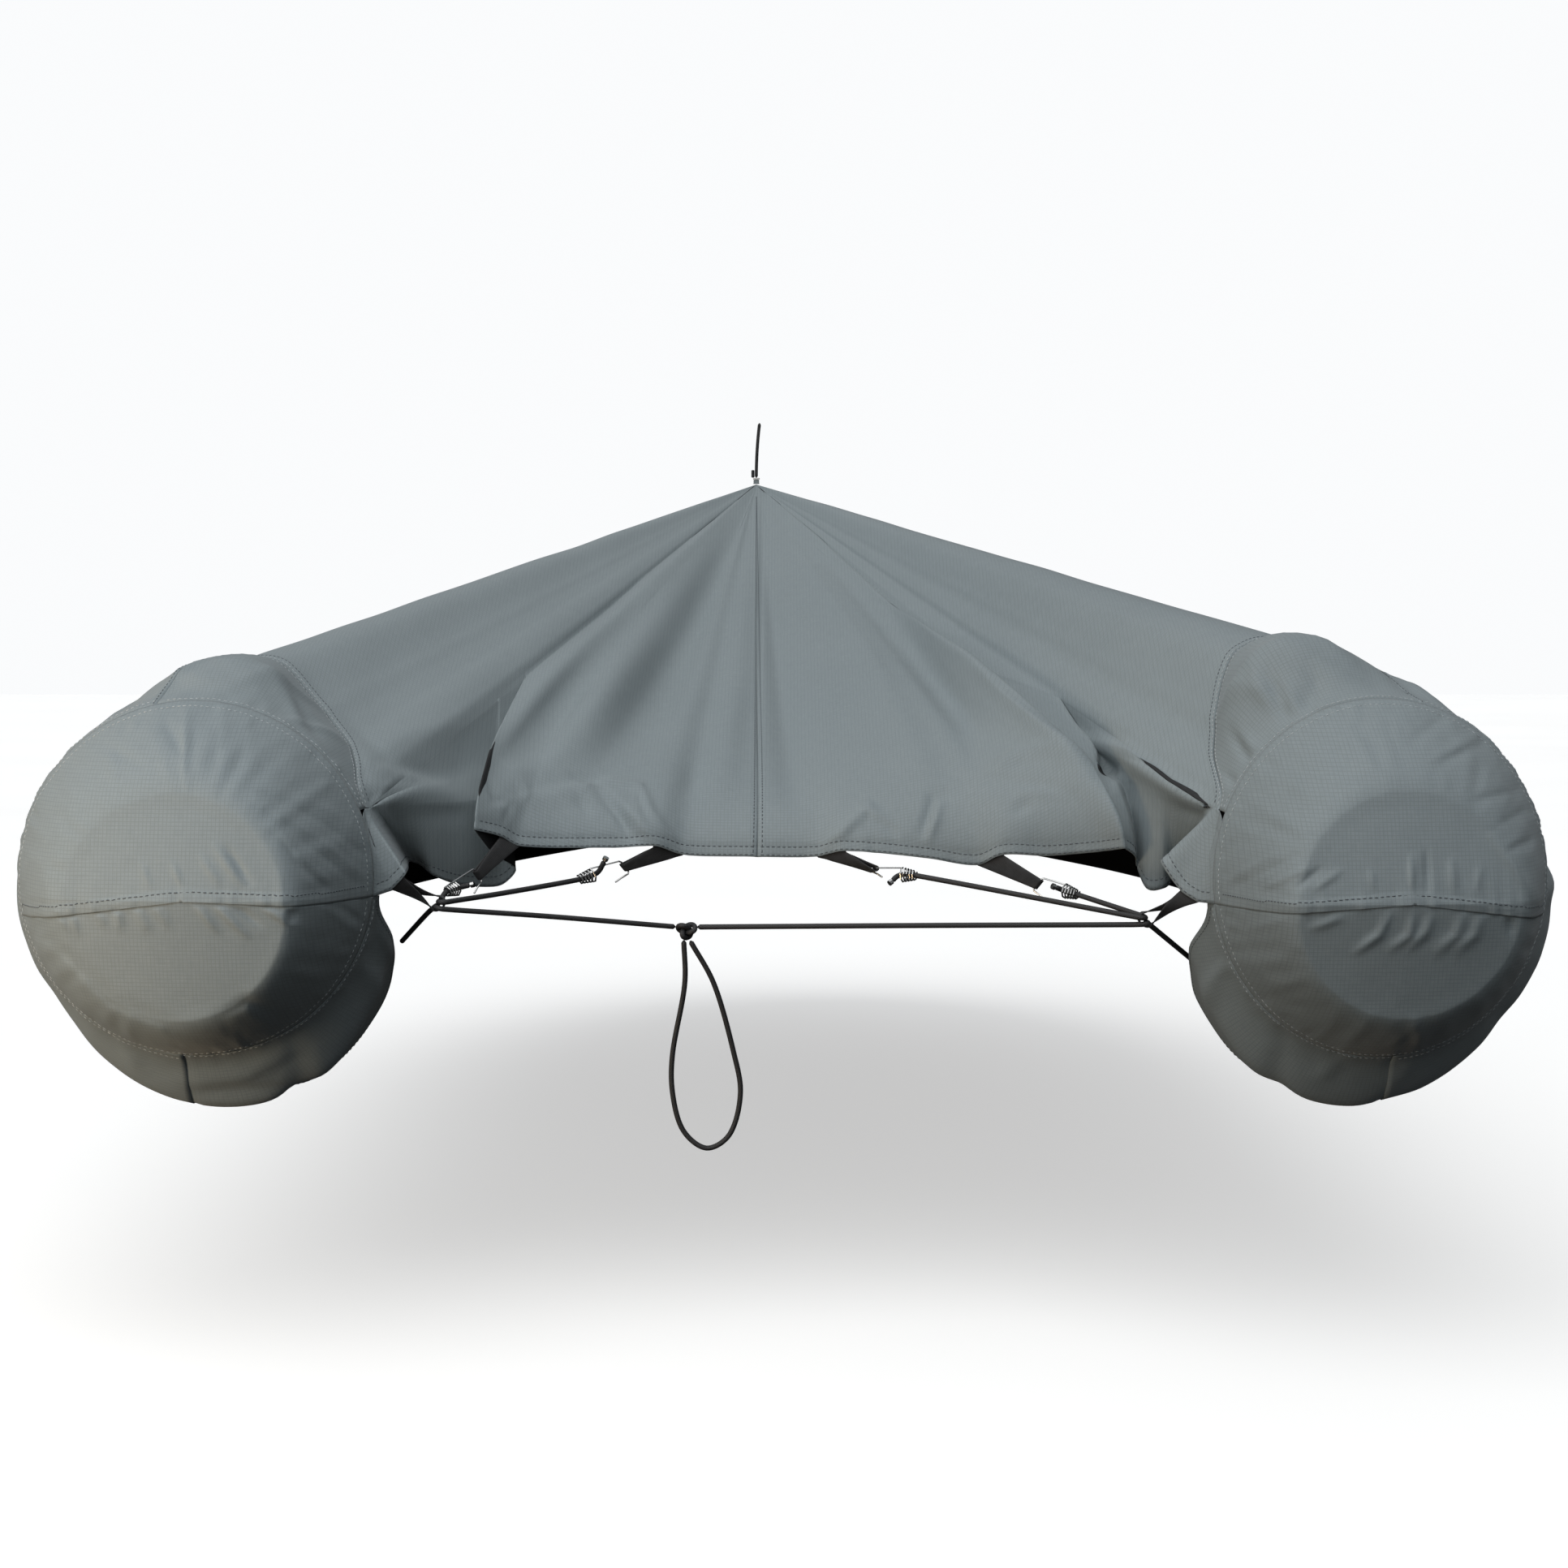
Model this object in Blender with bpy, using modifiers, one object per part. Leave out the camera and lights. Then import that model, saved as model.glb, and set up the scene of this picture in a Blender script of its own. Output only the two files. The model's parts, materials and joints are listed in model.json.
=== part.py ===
"""Fitted cover for a small inflatable boat, as it hangs on the boat.

Metres, +Z up. The stern is towards -Y and the bow towards +Y. The origin is the point under the
cover's top that holds it up, on the boat's middle plane. The tables below give places as
(across, forward, up): across from the middle plane, forward from the plane of the tube ends, and
up from the axes of the boat's two tubes. to_frame() turns them into the frame of the part.
"""

import math

import bmesh
import bpy
import numpy as np

# The frame: where the held point lies from the tube ends and over the tube axes
HELD_FORWARD = 1.200
HELD_UP = 0.464
PEAK = (-0.0398, 1.200, 0.482)

# Cloth
CLOTH_THICK = 0.0015
SEAM_GAP = 0.00040       # how far a panel stays back from a flat seam
MIDDLE_SEAM_GAP = 0.0007 # and from the top's middle seam, where the halves meet at an angle
BENT_SEAM_GAP = 0.00080  # and from a seam where the cloth turns a corner
FLAP_SEAM_GAP = 0.00160  # and from the notch and the seam where the flap turns right back

# The boat's tubes, which the cover fits
STRAIGHT_END = 1.70      # forward of here the tubes curve in to the bow
BOW_REACH = 1.20         # from there to the tube's axis at the bow
BOW_PATH = 1.47          # length of that curve along the tube's axis
BOW_RISE = 0.07
SEAM_FORWARD = 0.115     # the round seam of a tube end
NOTCH_FORWARD = 0.130    # the notch where the cross seam ends, just forward of it
FULL_FORWARD = 0.200     # where the cloth has its full girth
CREST_ANGLE = -2.0       # the seam along a tube's crest, from its top, inboard is positive
UNDER_ANGLE = 185.0      # the seam under a tube end
DISC_FORWARD = -0.004    # the flat end of the tube, felt through the cloth
DISC_BULGE = 0.010

# One row for each place where the cloth stands off a round tube: angle from the top, width of the
# swelling in degrees, height of the swelling
LEFT_SWELLS = (
    (9.0, 18.0, 0.035), (162.0, 38.0, 0.053), (-105.0, 25.0, 0.012),
    (-157.0, 30.0, 0.026), (-14.0, 9.0, 0.008), (-55.0, 30.0, -0.007),
)
RIGHT_SWELLS = (
    (23.0, 21.0, 0.076), (165.0, 38.0, 0.056), (-110.0, 25.0, 0.016),
    (-155.0, 30.0, 0.021), (0.0, 12.0, 0.011), (-19.0, 8.0, 0.010), (-65.0, 32.0, -0.009),
)

LEFT = {
    "name": "left", "side": -1, "tube_x": 0.620, "girth": 0.200,
    "seam_wide": 0.190, "seam_high": 0.190, "swells": LEFT_SWELLS,
    "disc_x": 0.615, "disc_up": -0.021, "disc_r": 0.113,
    "hub_x": 0.603, "hub_up": -0.012, "level_out": -102.0, "level_in": 96.0,
    "notch_angle": 67.6, "hem_angle": 113.0,
}
RIGHT = {
    "name": "right", "side": 1, "tube_x": 0.628, "girth": 0.195,
    "seam_wide": 0.178, "seam_high": 0.192, "swells": RIGHT_SWELLS,
    "disc_x": 0.628, "disc_up": -0.018, "disc_r": 0.113,
    "hub_x": 0.628, "hub_up": -0.014, "level_out": -102.0, "level_in": 99.0,
    "notch_angle": 67.0, "hem_angle": 118.0,
}

# The tail, from the middle seam out to each tube end. Each row: name, hem place, edge place (where
# the cloth turns down over the transom), where its folds start, steps of the mesh up to the next
# row. Folds start at a share of the way from the peak to the edge, or at a place. The rows after
# the front fold hang from the taut line that runs from the peak to the notch: theirs is the number
# of its point there, 0 where the front fold leaves it and 4 at the notch, and then how far they
# sag between there and the edge (below zero they stand proud)
SAG_WAY = np.array((0.0, 0.6, -0.8))
LEFT_TAUT_START = 0.66
RIGHT_TAUT_START = 0.72
LEFT_TAIL = (
    ("middle seam", (-0.0300, 0.262, 0.012), (-0.0290, 0.276, 0.061), 0.72, 2),
    ("loop 3, right end", (-0.1110, 0.264, 0.014), (-0.1040, 0.275, 0.061), 0.72, 1),
    ("loop 3, left end", (-0.1430, 0.252, 0.024), (-0.1380, 0.270, 0.072), 0.70, 1),
    ("plain", (-0.1900, 0.250, 0.023), (-0.1860, 0.268, 0.076), 0.70, 2),
    ("loop 2, right end", (-0.2900, 0.245, 0.025), (-0.2830, 0.260, 0.085), (-0.2290, 0.530, 0.2233), 1),
    ("loop 2, left end", (-0.3100, 0.235, 0.036), (-0.3070, 0.250, 0.098), (-0.2690, 0.500, 0.2230), 1),
    ("front fold", (-0.3380, 0.215, 0.045), (-0.3340, 0.235, 0.112), "taut line", 1),
)
LEFT_HANGING = (
    ("turned back", (-0.3200, 0.242, 0.017), (-0.3200, 0.252, 0.098), 0, 0.006),
    ("back fold", (-0.2990, 0.278, -0.003), (-0.3055, 0.268, 0.075), 0, 0.014),
    ("back layer", (-0.3130, 0.287, -0.020), (-0.3191, 0.280, 0.072), 1, 0.014),
    ("back layer", (-0.3310, 0.280, -0.023), (-0.3367, 0.263, 0.071), 1, 0.014),
    ("back layer", (-0.3610, 0.255, -0.018), (-0.3630, 0.235, 0.074), 2, 0.012),
    ("back layer end", (-0.3860, 0.235, -0.006), (-0.3921, 0.200, 0.081), 2, 0.009),
    ("groove", (-0.4020, 0.252, 0.004), (-0.4270, 0.152, 0.081), 3, 0.006),
    ("groove, far side", (-0.4120, 0.246, 0.008), (-0.4330, 0.144, 0.078), 3, 0.002),
    ("groove side", (-0.4030, 0.165, 0.006), (-0.4375, 0.134, 0.075), 3, -0.004),
    ("flap tip", (-0.3960, 0.100, 0.007), (-0.4400, 0.129, 0.075), 3, -0.008),
    ("loop 1, near end", (-0.4000, 0.100, 0.001), (-0.4418, 0.125, 0.074), 3, -0.008),
    ("loop 1, far end", (-0.4130, 0.105, -0.012), (-0.4438, 0.1205, 0.073), 3, -0.005),
)
RIGHT_TAIL = (
    ("middle seam", (-0.0300, 0.262, 0.012), (-0.0290, 0.276, 0.061), 0.72, 2),
    ("loop 4, left end", (0.0360, 0.264, 0.012), (0.0360, 0.276, 0.061), 0.72, 1),
    ("loop 4, right end", (0.0670, 0.254, 0.019), (0.0670, 0.272, 0.066), 0.70, 2),
    ("plain", (0.1580, 0.255, 0.011), (0.1560, 0.270, 0.080), 0.68, 1),
    ("loop 5, left end", (0.2130, 0.257, 0.003), (0.2100, 0.265, 0.084), 0.66, 1),
    ("loop 5, right end", (0.2410, 0.247, 0.015), (0.2460, 0.262, 0.093), 0.66, 1),
    ("plain", (0.2900, 0.247, 0.014), (0.2940, 0.252, 0.103), 0.66, 1),
    ("plain", (0.3430, 0.238, 0.019), (0.3370, 0.240, 0.108), 0.66, 1),
    ("front fold", (0.3730, 0.222, 0.024), (0.3650, 0.225, 0.086), 0.68, 1),
)
RIGHT_HANGING = (
    ("turned back", (0.3860, 0.240, 0.014), (0.3790, 0.242, 0.077), 0, 0.004),
    ("lobe, left side", (0.3910, 0.262, 0.000), (0.3870, 0.262, 0.085), 0, 0.008),
    ("lobe", (0.4000, 0.246, -0.022), (0.3940, 0.245, 0.098), 1, 0.004),
    ("lobe, right side", (0.4180, 0.240, -0.021), (0.4070, 0.214, 0.098), 2, 0.004),
    ("lobe, far side", (0.4310, 0.252, -0.013), (0.4150, 0.202, 0.094), 2, 0.006),
    ("groove", (0.4420, 0.272, -0.009), (0.4230, 0.193, 0.091), 3, 0.006),
    ("groove, far side", (0.4530, 0.266, -0.002), (0.4300, 0.184, 0.089), 3, 0.002),
    ("groove side", (0.4280, 0.215, 0.008), (0.4380, 0.163, 0.086), 3, -0.004),
    ("flap tip", (0.4020, 0.150, 0.015), (0.4450, 0.142, 0.081), 3, -0.008),
    ("loop 6, near end", (0.4200, 0.132, -0.014), (0.4560, 0.130, 0.072), 3, -0.008),
    ("loop 6, far end", (0.4370, 0.122, -0.026), (0.4600, 0.124, 0.070), 3, -0.005),
)

# The seam that crosses from the notch up to the crest of the tube end. Each row: angle round the
# tube, forward
LEFT_CROSS = ((61.0, 0.138), (52.0, 0.180), (44.0, 0.220), (28.0, 0.270), (12.0, 0.310))
RIGHT_CROSS = (
    (62.0, 0.138), (57.6, 0.160), (51.0, 0.200), (41.6, 0.240), (28.3, 0.290), (14.0, 0.330),
)

# Stations along the tube's axis: over the tube end, and from there along the crest to the bow
SEAM_STATIONS = (0.115, 0.135, 0.160, 0.200, 0.250, 0.300)
CREST_STATIONS = (
    0.345, 0.50, 0.75, 1.05, 1.38, 1.70, 1.91, 2.12, 2.33, 2.54, 2.75, 2.96, 3.17,
)
TOUCH_ANGLE = -24.0      # where the straight run of cloth from the peak comes to lie on the tube
TOUCH_ANGLE_BOW = -8.0

# Mesh rows down a panel: from the peak to the start of the folds, on to the edge, on to the hem
SLOPE_ROWS = (0.0, 0.12, 0.25, 0.39, 0.53, 0.67, 0.80, 0.91)
FOLD_ROWS = (1.0, 1.18, 1.45, 1.75)
EDGE_ROWS = (2.0, 2.25, 2.60, 3.0)
ROUNDING = 0.22

# Long soft folds of the top. Each row: name, place along the hem at the lower end and at the upper
# end (metres from the middle seam, port negative), rows where it starts and ends (0 peak, 1 folds
# start, 2 edge, 3 hem), width, height (below zero a trough)
TOP_FOLDS = (
    ("left light band", -0.080, -0.080, 0.30, 2.10, 0.030, 0.008),
    ("left trough", -0.205, -0.205, 0.28, 1.80, 0.034, -0.022),
    ("left ridge", -0.262, -0.262, 0.35, 2.05, 0.026, 0.012),
    ("left front trough", -0.312, -0.297, 0.75, 1.95, 0.018, -0.022),
    ("right of the seam", 0.012, 0.012, 0.25, 2.20, 0.022, -0.010),
    ("right light band", 0.200, 0.200, 0.30, 2.05, 0.036, 0.010),
    ("right trough", 0.275, 0.275, 0.28, 1.90, 0.030, -0.022),
    ("right bump", 0.368, 0.352, 0.68, 2.05, 0.024, 0.022),
)

# Webbing loops. Each row: name, tail, the two rows of the tail between which it is sewn behind the
# hem, the two ends of its width at the far end, the room inside the far end
WEB_THICK = 0.0015
WEB_LAYERS_APART = 0.0004
LOOP_BELLY = 0.0010      # the two layers stand off each other half way
WEB_TUCK = 0.007         # how far a loop reaches up behind the hem
WIRE_ROOM = 0.0046
CORD_ROOM = 0.0148
LOOPS = (
    ("loop_1", LEFT_HANGING, "loop 1, near end", "loop 1, far end",
     (-0.3668, 0.1120, -0.0268), (-0.3668, 0.1280, -0.0268), CORD_ROOM),
    ("loop_2", LEFT_TAIL, "loop 2, left end", "loop 2, right end",
     (-0.3340, 0.1910, 0.0022), (-0.3283, 0.1950, -0.0068), WIRE_ROOM),
    ("loop_3", LEFT_TAIL, "loop 3, left end", "loop 3, right end",
     (-0.1780, 0.2455, 0.0056), (-0.1724, 0.2490, -0.0018), WIRE_ROOM),
    ("loop_4", RIGHT_TAIL, "loop 4, right end", "loop 4, left end",
     (0.1012, 0.2440, 0.0005), (0.0962, 0.2540, -0.0017), WIRE_ROOM),
    ("loop_5", RIGHT_TAIL, "loop 5, right end", "loop 5, left end",
     (0.2814, 0.2286, -0.0106), (0.2741, 0.2314, -0.0202), WIRE_ROOM),
    ("loop_6", RIGHT_HANGING, "loop 6, near end", "loop 6, far end",
     (0.3864, 0.1370, -0.0463), (0.3864, 0.1530, -0.0463), CORD_ROOM),
)

# Wire hooks. Each row: number, narrow and wide ends of the coil, where the wire enters the webbing
# and leaves it, its free tip
WIRE_R = 0.0010
COIL_NARROW_R = 0.0048
COIL_WIDE_R = 0.0080
COIL_TURNS = 5
COIL_STEPS = 8
CLIP_R = 0.0034
CLIP_LONG = 0.0040
HOOKS = (
    (2, (-0.3594, 0.1430, -0.0168), (-0.3508, 0.1580, -0.0146), (-0.3354, 0.1900, 0.0043),
     (-0.3269, 0.1960, -0.0089), (-0.3346, 0.1850, -0.0220)),
    (3, (-0.2236, 0.2180, -0.0097), (-0.2085, 0.2290, -0.0053), (-0.1800, 0.2440, 0.0088),
     (-0.1704, 0.2505, -0.0050), (-0.1852, 0.2390, -0.0142)),
    (4, (0.1446, 0.2300, -0.0063), (0.1298, 0.2365, -0.0060), (0.1030, 0.2403, 0.0014),
     (0.0944, 0.2577, -0.0026), (0.1086, 0.2520, -0.0098)),
    (5, (0.3188, 0.2025, -0.0250), (0.3061, 0.2125, -0.0217), (0.2829, 0.2280, -0.0088),
     (0.2726, 0.2320, -0.0220), (0.2843, 0.2240, -0.0315)),
)

# Cords
CORD_R = 0.0029
PEAK_CORD_R = 0.0023
CORD_SPACING = 0.012     # between the points of a cord's mesh
KNOT_SIZE = (0.0120, 0.0090, 0.0105)
KNOT_PLACE = (-0.1060, 0.2050, -0.0640)
DRAWCORD_LEFT = (
    (-0.4230, 0.2545, -0.0815), (-0.3850, 0.1720, -0.0440), (-0.3720, 0.1430, -0.0330),
    (-0.3678, 0.1325, -0.0304), (-0.3677, 0.1120, -0.0303), (-0.3638, 0.1070, -0.0311),
    (-0.3560, 0.1080, -0.0325), (-0.2504, 0.1560, -0.0445), (-0.1182, 0.2045, -0.0602),
)
DRAWCORD_RIGHT = (
    (-0.0940, 0.2050, -0.0605), (0.1500, 0.1700, -0.0555), (0.3600, 0.1370, -0.0515),
    (0.3790, 0.1322, -0.0507), (0.3850, 0.1325, -0.0503), (0.3872, 0.1390, -0.0498),
    (0.3872, 0.1550, -0.0500), (0.3930, 0.1680, -0.0545), (0.4520, 0.2545, -0.1020),
)
DRAWCORD_LOOP = (
    (-0.1090, 0.2050, -0.0751), (-0.1085, 0.2120, -0.1248), (-0.1221, 0.2220, -0.2012),
    (-0.1223, 0.2260, -0.2461), (-0.1108, 0.2280, -0.2872), (-0.0851, 0.2280, -0.3067),
    (-0.0594, 0.2280, -0.2908), (-0.0479, 0.2260, -0.2461), (-0.0549, 0.2220, -0.2012),
    (-0.0759, 0.2120, -0.1248), (-0.1020, 0.2050, -0.0756),
)
ELASTIC_LEFT = (
    (-0.1961, 0.2230, 0.0105), (-0.2025, 0.2275, -0.0010), (-0.2085, 0.2290, -0.0053),
    (-0.2236, 0.2180, -0.0097), (-0.3000, 0.1580, -0.0195), (-0.3450, 0.1170, -0.0238),
    (-0.3555, 0.1074, -0.0248), (-0.3622, 0.1076, -0.0250), (-0.3643, 0.1140, -0.0250),
    (-0.3643, 0.1305, -0.0250), (-0.3632, 0.1372, -0.0222), (-0.3594, 0.1430, -0.0168),
    (-0.3508, 0.1580, -0.0146), (-0.3440, 0.1630, -0.0130), (-0.3360, 0.1600, -0.0110),
)
ELASTIC_RIGHT = (
    (0.2954, 0.2090, -0.0175), (0.3005, 0.2130, -0.0195), (0.3061, 0.2125, -0.0217),
    (0.3188, 0.2025, -0.0250), (0.3500, 0.1818, -0.0342), (0.3770, 0.1640, -0.0422),
    (0.3825, 0.1590, -0.0438), (0.3845, 0.1520, -0.0442), (0.3843, 0.1380, -0.0442),
    (0.3810, 0.1316, -0.0437), (0.3700, 0.1335, -0.0422), (0.1446, 0.2300, -0.0063),
    (0.1298, 0.2365, -0.0060), (0.1240, 0.2360, -0.0078), (0.1185, 0.2310, -0.0125),
)

# The peak: cloth tab, pale ring and the cord that pulls it up
TAB_WIDE, TAB_DEEP, TAB_HIGH = 0.0090, 0.0030, 0.0060
RING_WIDE, RING_DEEP, RING_HIGH = 0.0096, 0.0050, 0.0024
TAB_ROUND, RING_ROUND = 0.0008, 0.0006
PEAK_CORD_HIGH = 0.0780
PEAK_CORD_LEAN = 0.0047
PEAK_SPLICE_HIGH = 0.0110

SHADES = {               # colour, roughness, metallic
    "cover_cloth": ((0.235, 0.270, 0.285), 0.75, 0.0),
    "black_webbing": ((0.016, 0.016, 0.017), 0.80, 0.0),
    "black_cord": ((0.014, 0.014, 0.015), 0.60, 0.0),
    "bright_wire": ((0.780, 0.780, 0.770), 0.22, 1.0),
    "pale_ring": ((0.700, 0.690, 0.680), 0.40, 0.0),
}


def to_frame(place):
    """A place (across, forward, up) as x, y and z in the frame of the part."""
    across, forward, up = place
    return np.array((across, forward - HELD_FORWARD, up - HELD_UP))


def smooth(t):
    t = min(max(t, 0.0), 1.0)
    return t * t * (3.0 - 2.0 * t)


def unit(v):
    return v / max(np.linalg.norm(v), 1e-12)


# ---- the cloth round the tubes


def tube_axis(sock, station):
    """The tube's axis at a station along it, and the way outboard there."""
    side = sock["side"]
    if station <= STRAIGHT_END:
        return np.array((side * sock["tube_x"], station, 0.0)), np.array((side, 0.0, 0.0))
    turn = min((station - STRAIGHT_END) / BOW_PATH, 1.0) * math.pi / 2
    centre = np.array((
        side * sock["tube_x"] * math.cos(turn),
        STRAIGHT_END + BOW_REACH * math.sin(turn),
        BOW_RISE * (turn / (math.pi / 2)) ** 2,
    ))
    out = np.array((side * math.cos(turn) / sock["tube_x"], math.sin(turn) / BOW_REACH, 0.0))
    return centre, unit(out)


def girth(sock, angle, station):
    """The cloth's distance from the tube's axis."""
    a = math.radians(angle)
    at_seam = 1.0 / math.hypot(math.sin(a) / sock["seam_wide"], math.cos(a) / sock["seam_high"])
    swell = 0.0
    for middle, wide, high in sock["swells"]:
        away = (angle - middle + 180.0) % 360.0 - 180.0
        swell += high * math.exp(-((away / wide) ** 2))
    fade = 0.2 + 0.8 * math.exp(-((max(station - 0.27, 0.0) / 0.40) ** 2))
    full = sock["girth"] + swell * fade
    touch = TOUCH_ANGLE + (TOUCH_ANGLE_BOW - TOUCH_ANGLE) * smooth((station - 1.5) / 1.6)
    if touch < angle < 10.0:
        off_tube = sock["girth"] * (1.0 / math.cos(math.radians(angle - touch)) - 1.0)
        full += off_tube * smooth((station - 0.30) / 0.45)
    t = smooth((station - SEAM_FORWARD) / (FULL_FORWARD - SEAM_FORWARD))
    return at_seam * (1.0 - t) + full * t


def tube_cloth(sock, angle, station):
    """A point of the cloth round a tube. The angle is from the top, inboard is positive."""
    centre, out = tube_axis(sock, station)
    a = math.radians(angle)
    r = girth(sock, angle, station)
    return centre - out * (r * math.sin(a)) + np.array((0.0, 0.0, r * math.cos(a)))


def crest_angle(station):
    """The crest seam starts outboard at the tube end and runs in towards the top."""
    start = -12.0
    return start + (CREST_ANGLE - start) * smooth((station - SEAM_FORWARD) / 0.12)


def skirt_foot(station):
    """The angle of the skirt's lower edge: right under the tube end, then drawn up a little."""
    stern = UNDER_ANGLE - 360.0
    return stern + 25.0 * smooth((station - 0.30) / 0.30)


def tube_end(sock, angle, row):
    """A point of the cloth over the tube's end: row 0 its hub, 1 the flat end's rim, 2 the seam."""
    side = sock["side"]
    hub = np.array((side * sock["hub_x"], 0.0, sock["hub_up"]))
    seam = tube_cloth(sock, angle, SEAM_FORWARD)
    way = seam - hub
    way[1] = 0.0
    off = hub - np.array((side * sock["disc_x"], 0.0, sock["disc_up"]))
    a, b, c = way @ way, 2.0 * (way @ off), off @ off - sock["disc_r"] ** 2
    at_rim = (-b + math.sqrt(b * b - 4.0 * a * c)) / (2.0 * a)
    share = at_rim * row if row <= 1.0 else at_rim + (1.0 - at_rim) * (row - 1.0)
    point = hub + way * share
    if row <= 1.0:
        from_disc = float(np.linalg.norm(off + way * share)) / sock["disc_r"]
        point[1] = DISC_FORWARD - DISC_BULGE * (1.0 - from_disc ** 2)
    else:
        point[1] = DISC_FORWARD + (SEAM_FORWARD - DISC_FORWARD) * (row - 1.0) ** 1.15
    return point


# ---- the top


def spline(knots, values, at):
    """A smooth curve through the rows of a table (Catmull-Rom, uneven spacing)."""
    knots = np.asarray(knots, float)
    values = np.asarray(values, float)
    i = int(np.clip(np.searchsorted(knots, at, side="right") - 1, 0, len(knots) - 2))
    gap = knots[i + 1] - knots[i]
    t = (at - knots[i]) / gap

    def slope(k):
        lo, hi = max(k - 1, 0), min(k + 1, len(knots) - 1)
        return (values[hi] - values[lo]) / (knots[hi] - knots[lo])

    t2, t3 = t * t, t * t * t
    return (
        (2 * t3 - 3 * t2 + 1) * values[i] + (t3 - 2 * t2 + t) * gap * slope(i)
        + (3 * t2 - 2 * t3) * values[i + 1] + (t3 - t2) * gap * slope(i + 1)
    )


def rounded_run(knots, row):
    """A point on straight lines through knots, rounded where they turn. Whole rows are the knots."""
    def straight(at):
        i = min(max(int(at), 0), len(knots) - 2)
        return knots[i] + (knots[i + 1] - knots[i]) * (at - i)

    near = round(row)
    if 0 < near < len(knots) - 1 and abs(row - near) < ROUNDING:
        t = (row - near + ROUNDING) / (2 * ROUNDING)
        a, c = straight(near - ROUNDING), straight(near + ROUNDING)
        return (1 - t) ** 2 * a + 2 * t * (1 - t) * knots[near] + t * t * c
    return straight(row)


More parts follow.
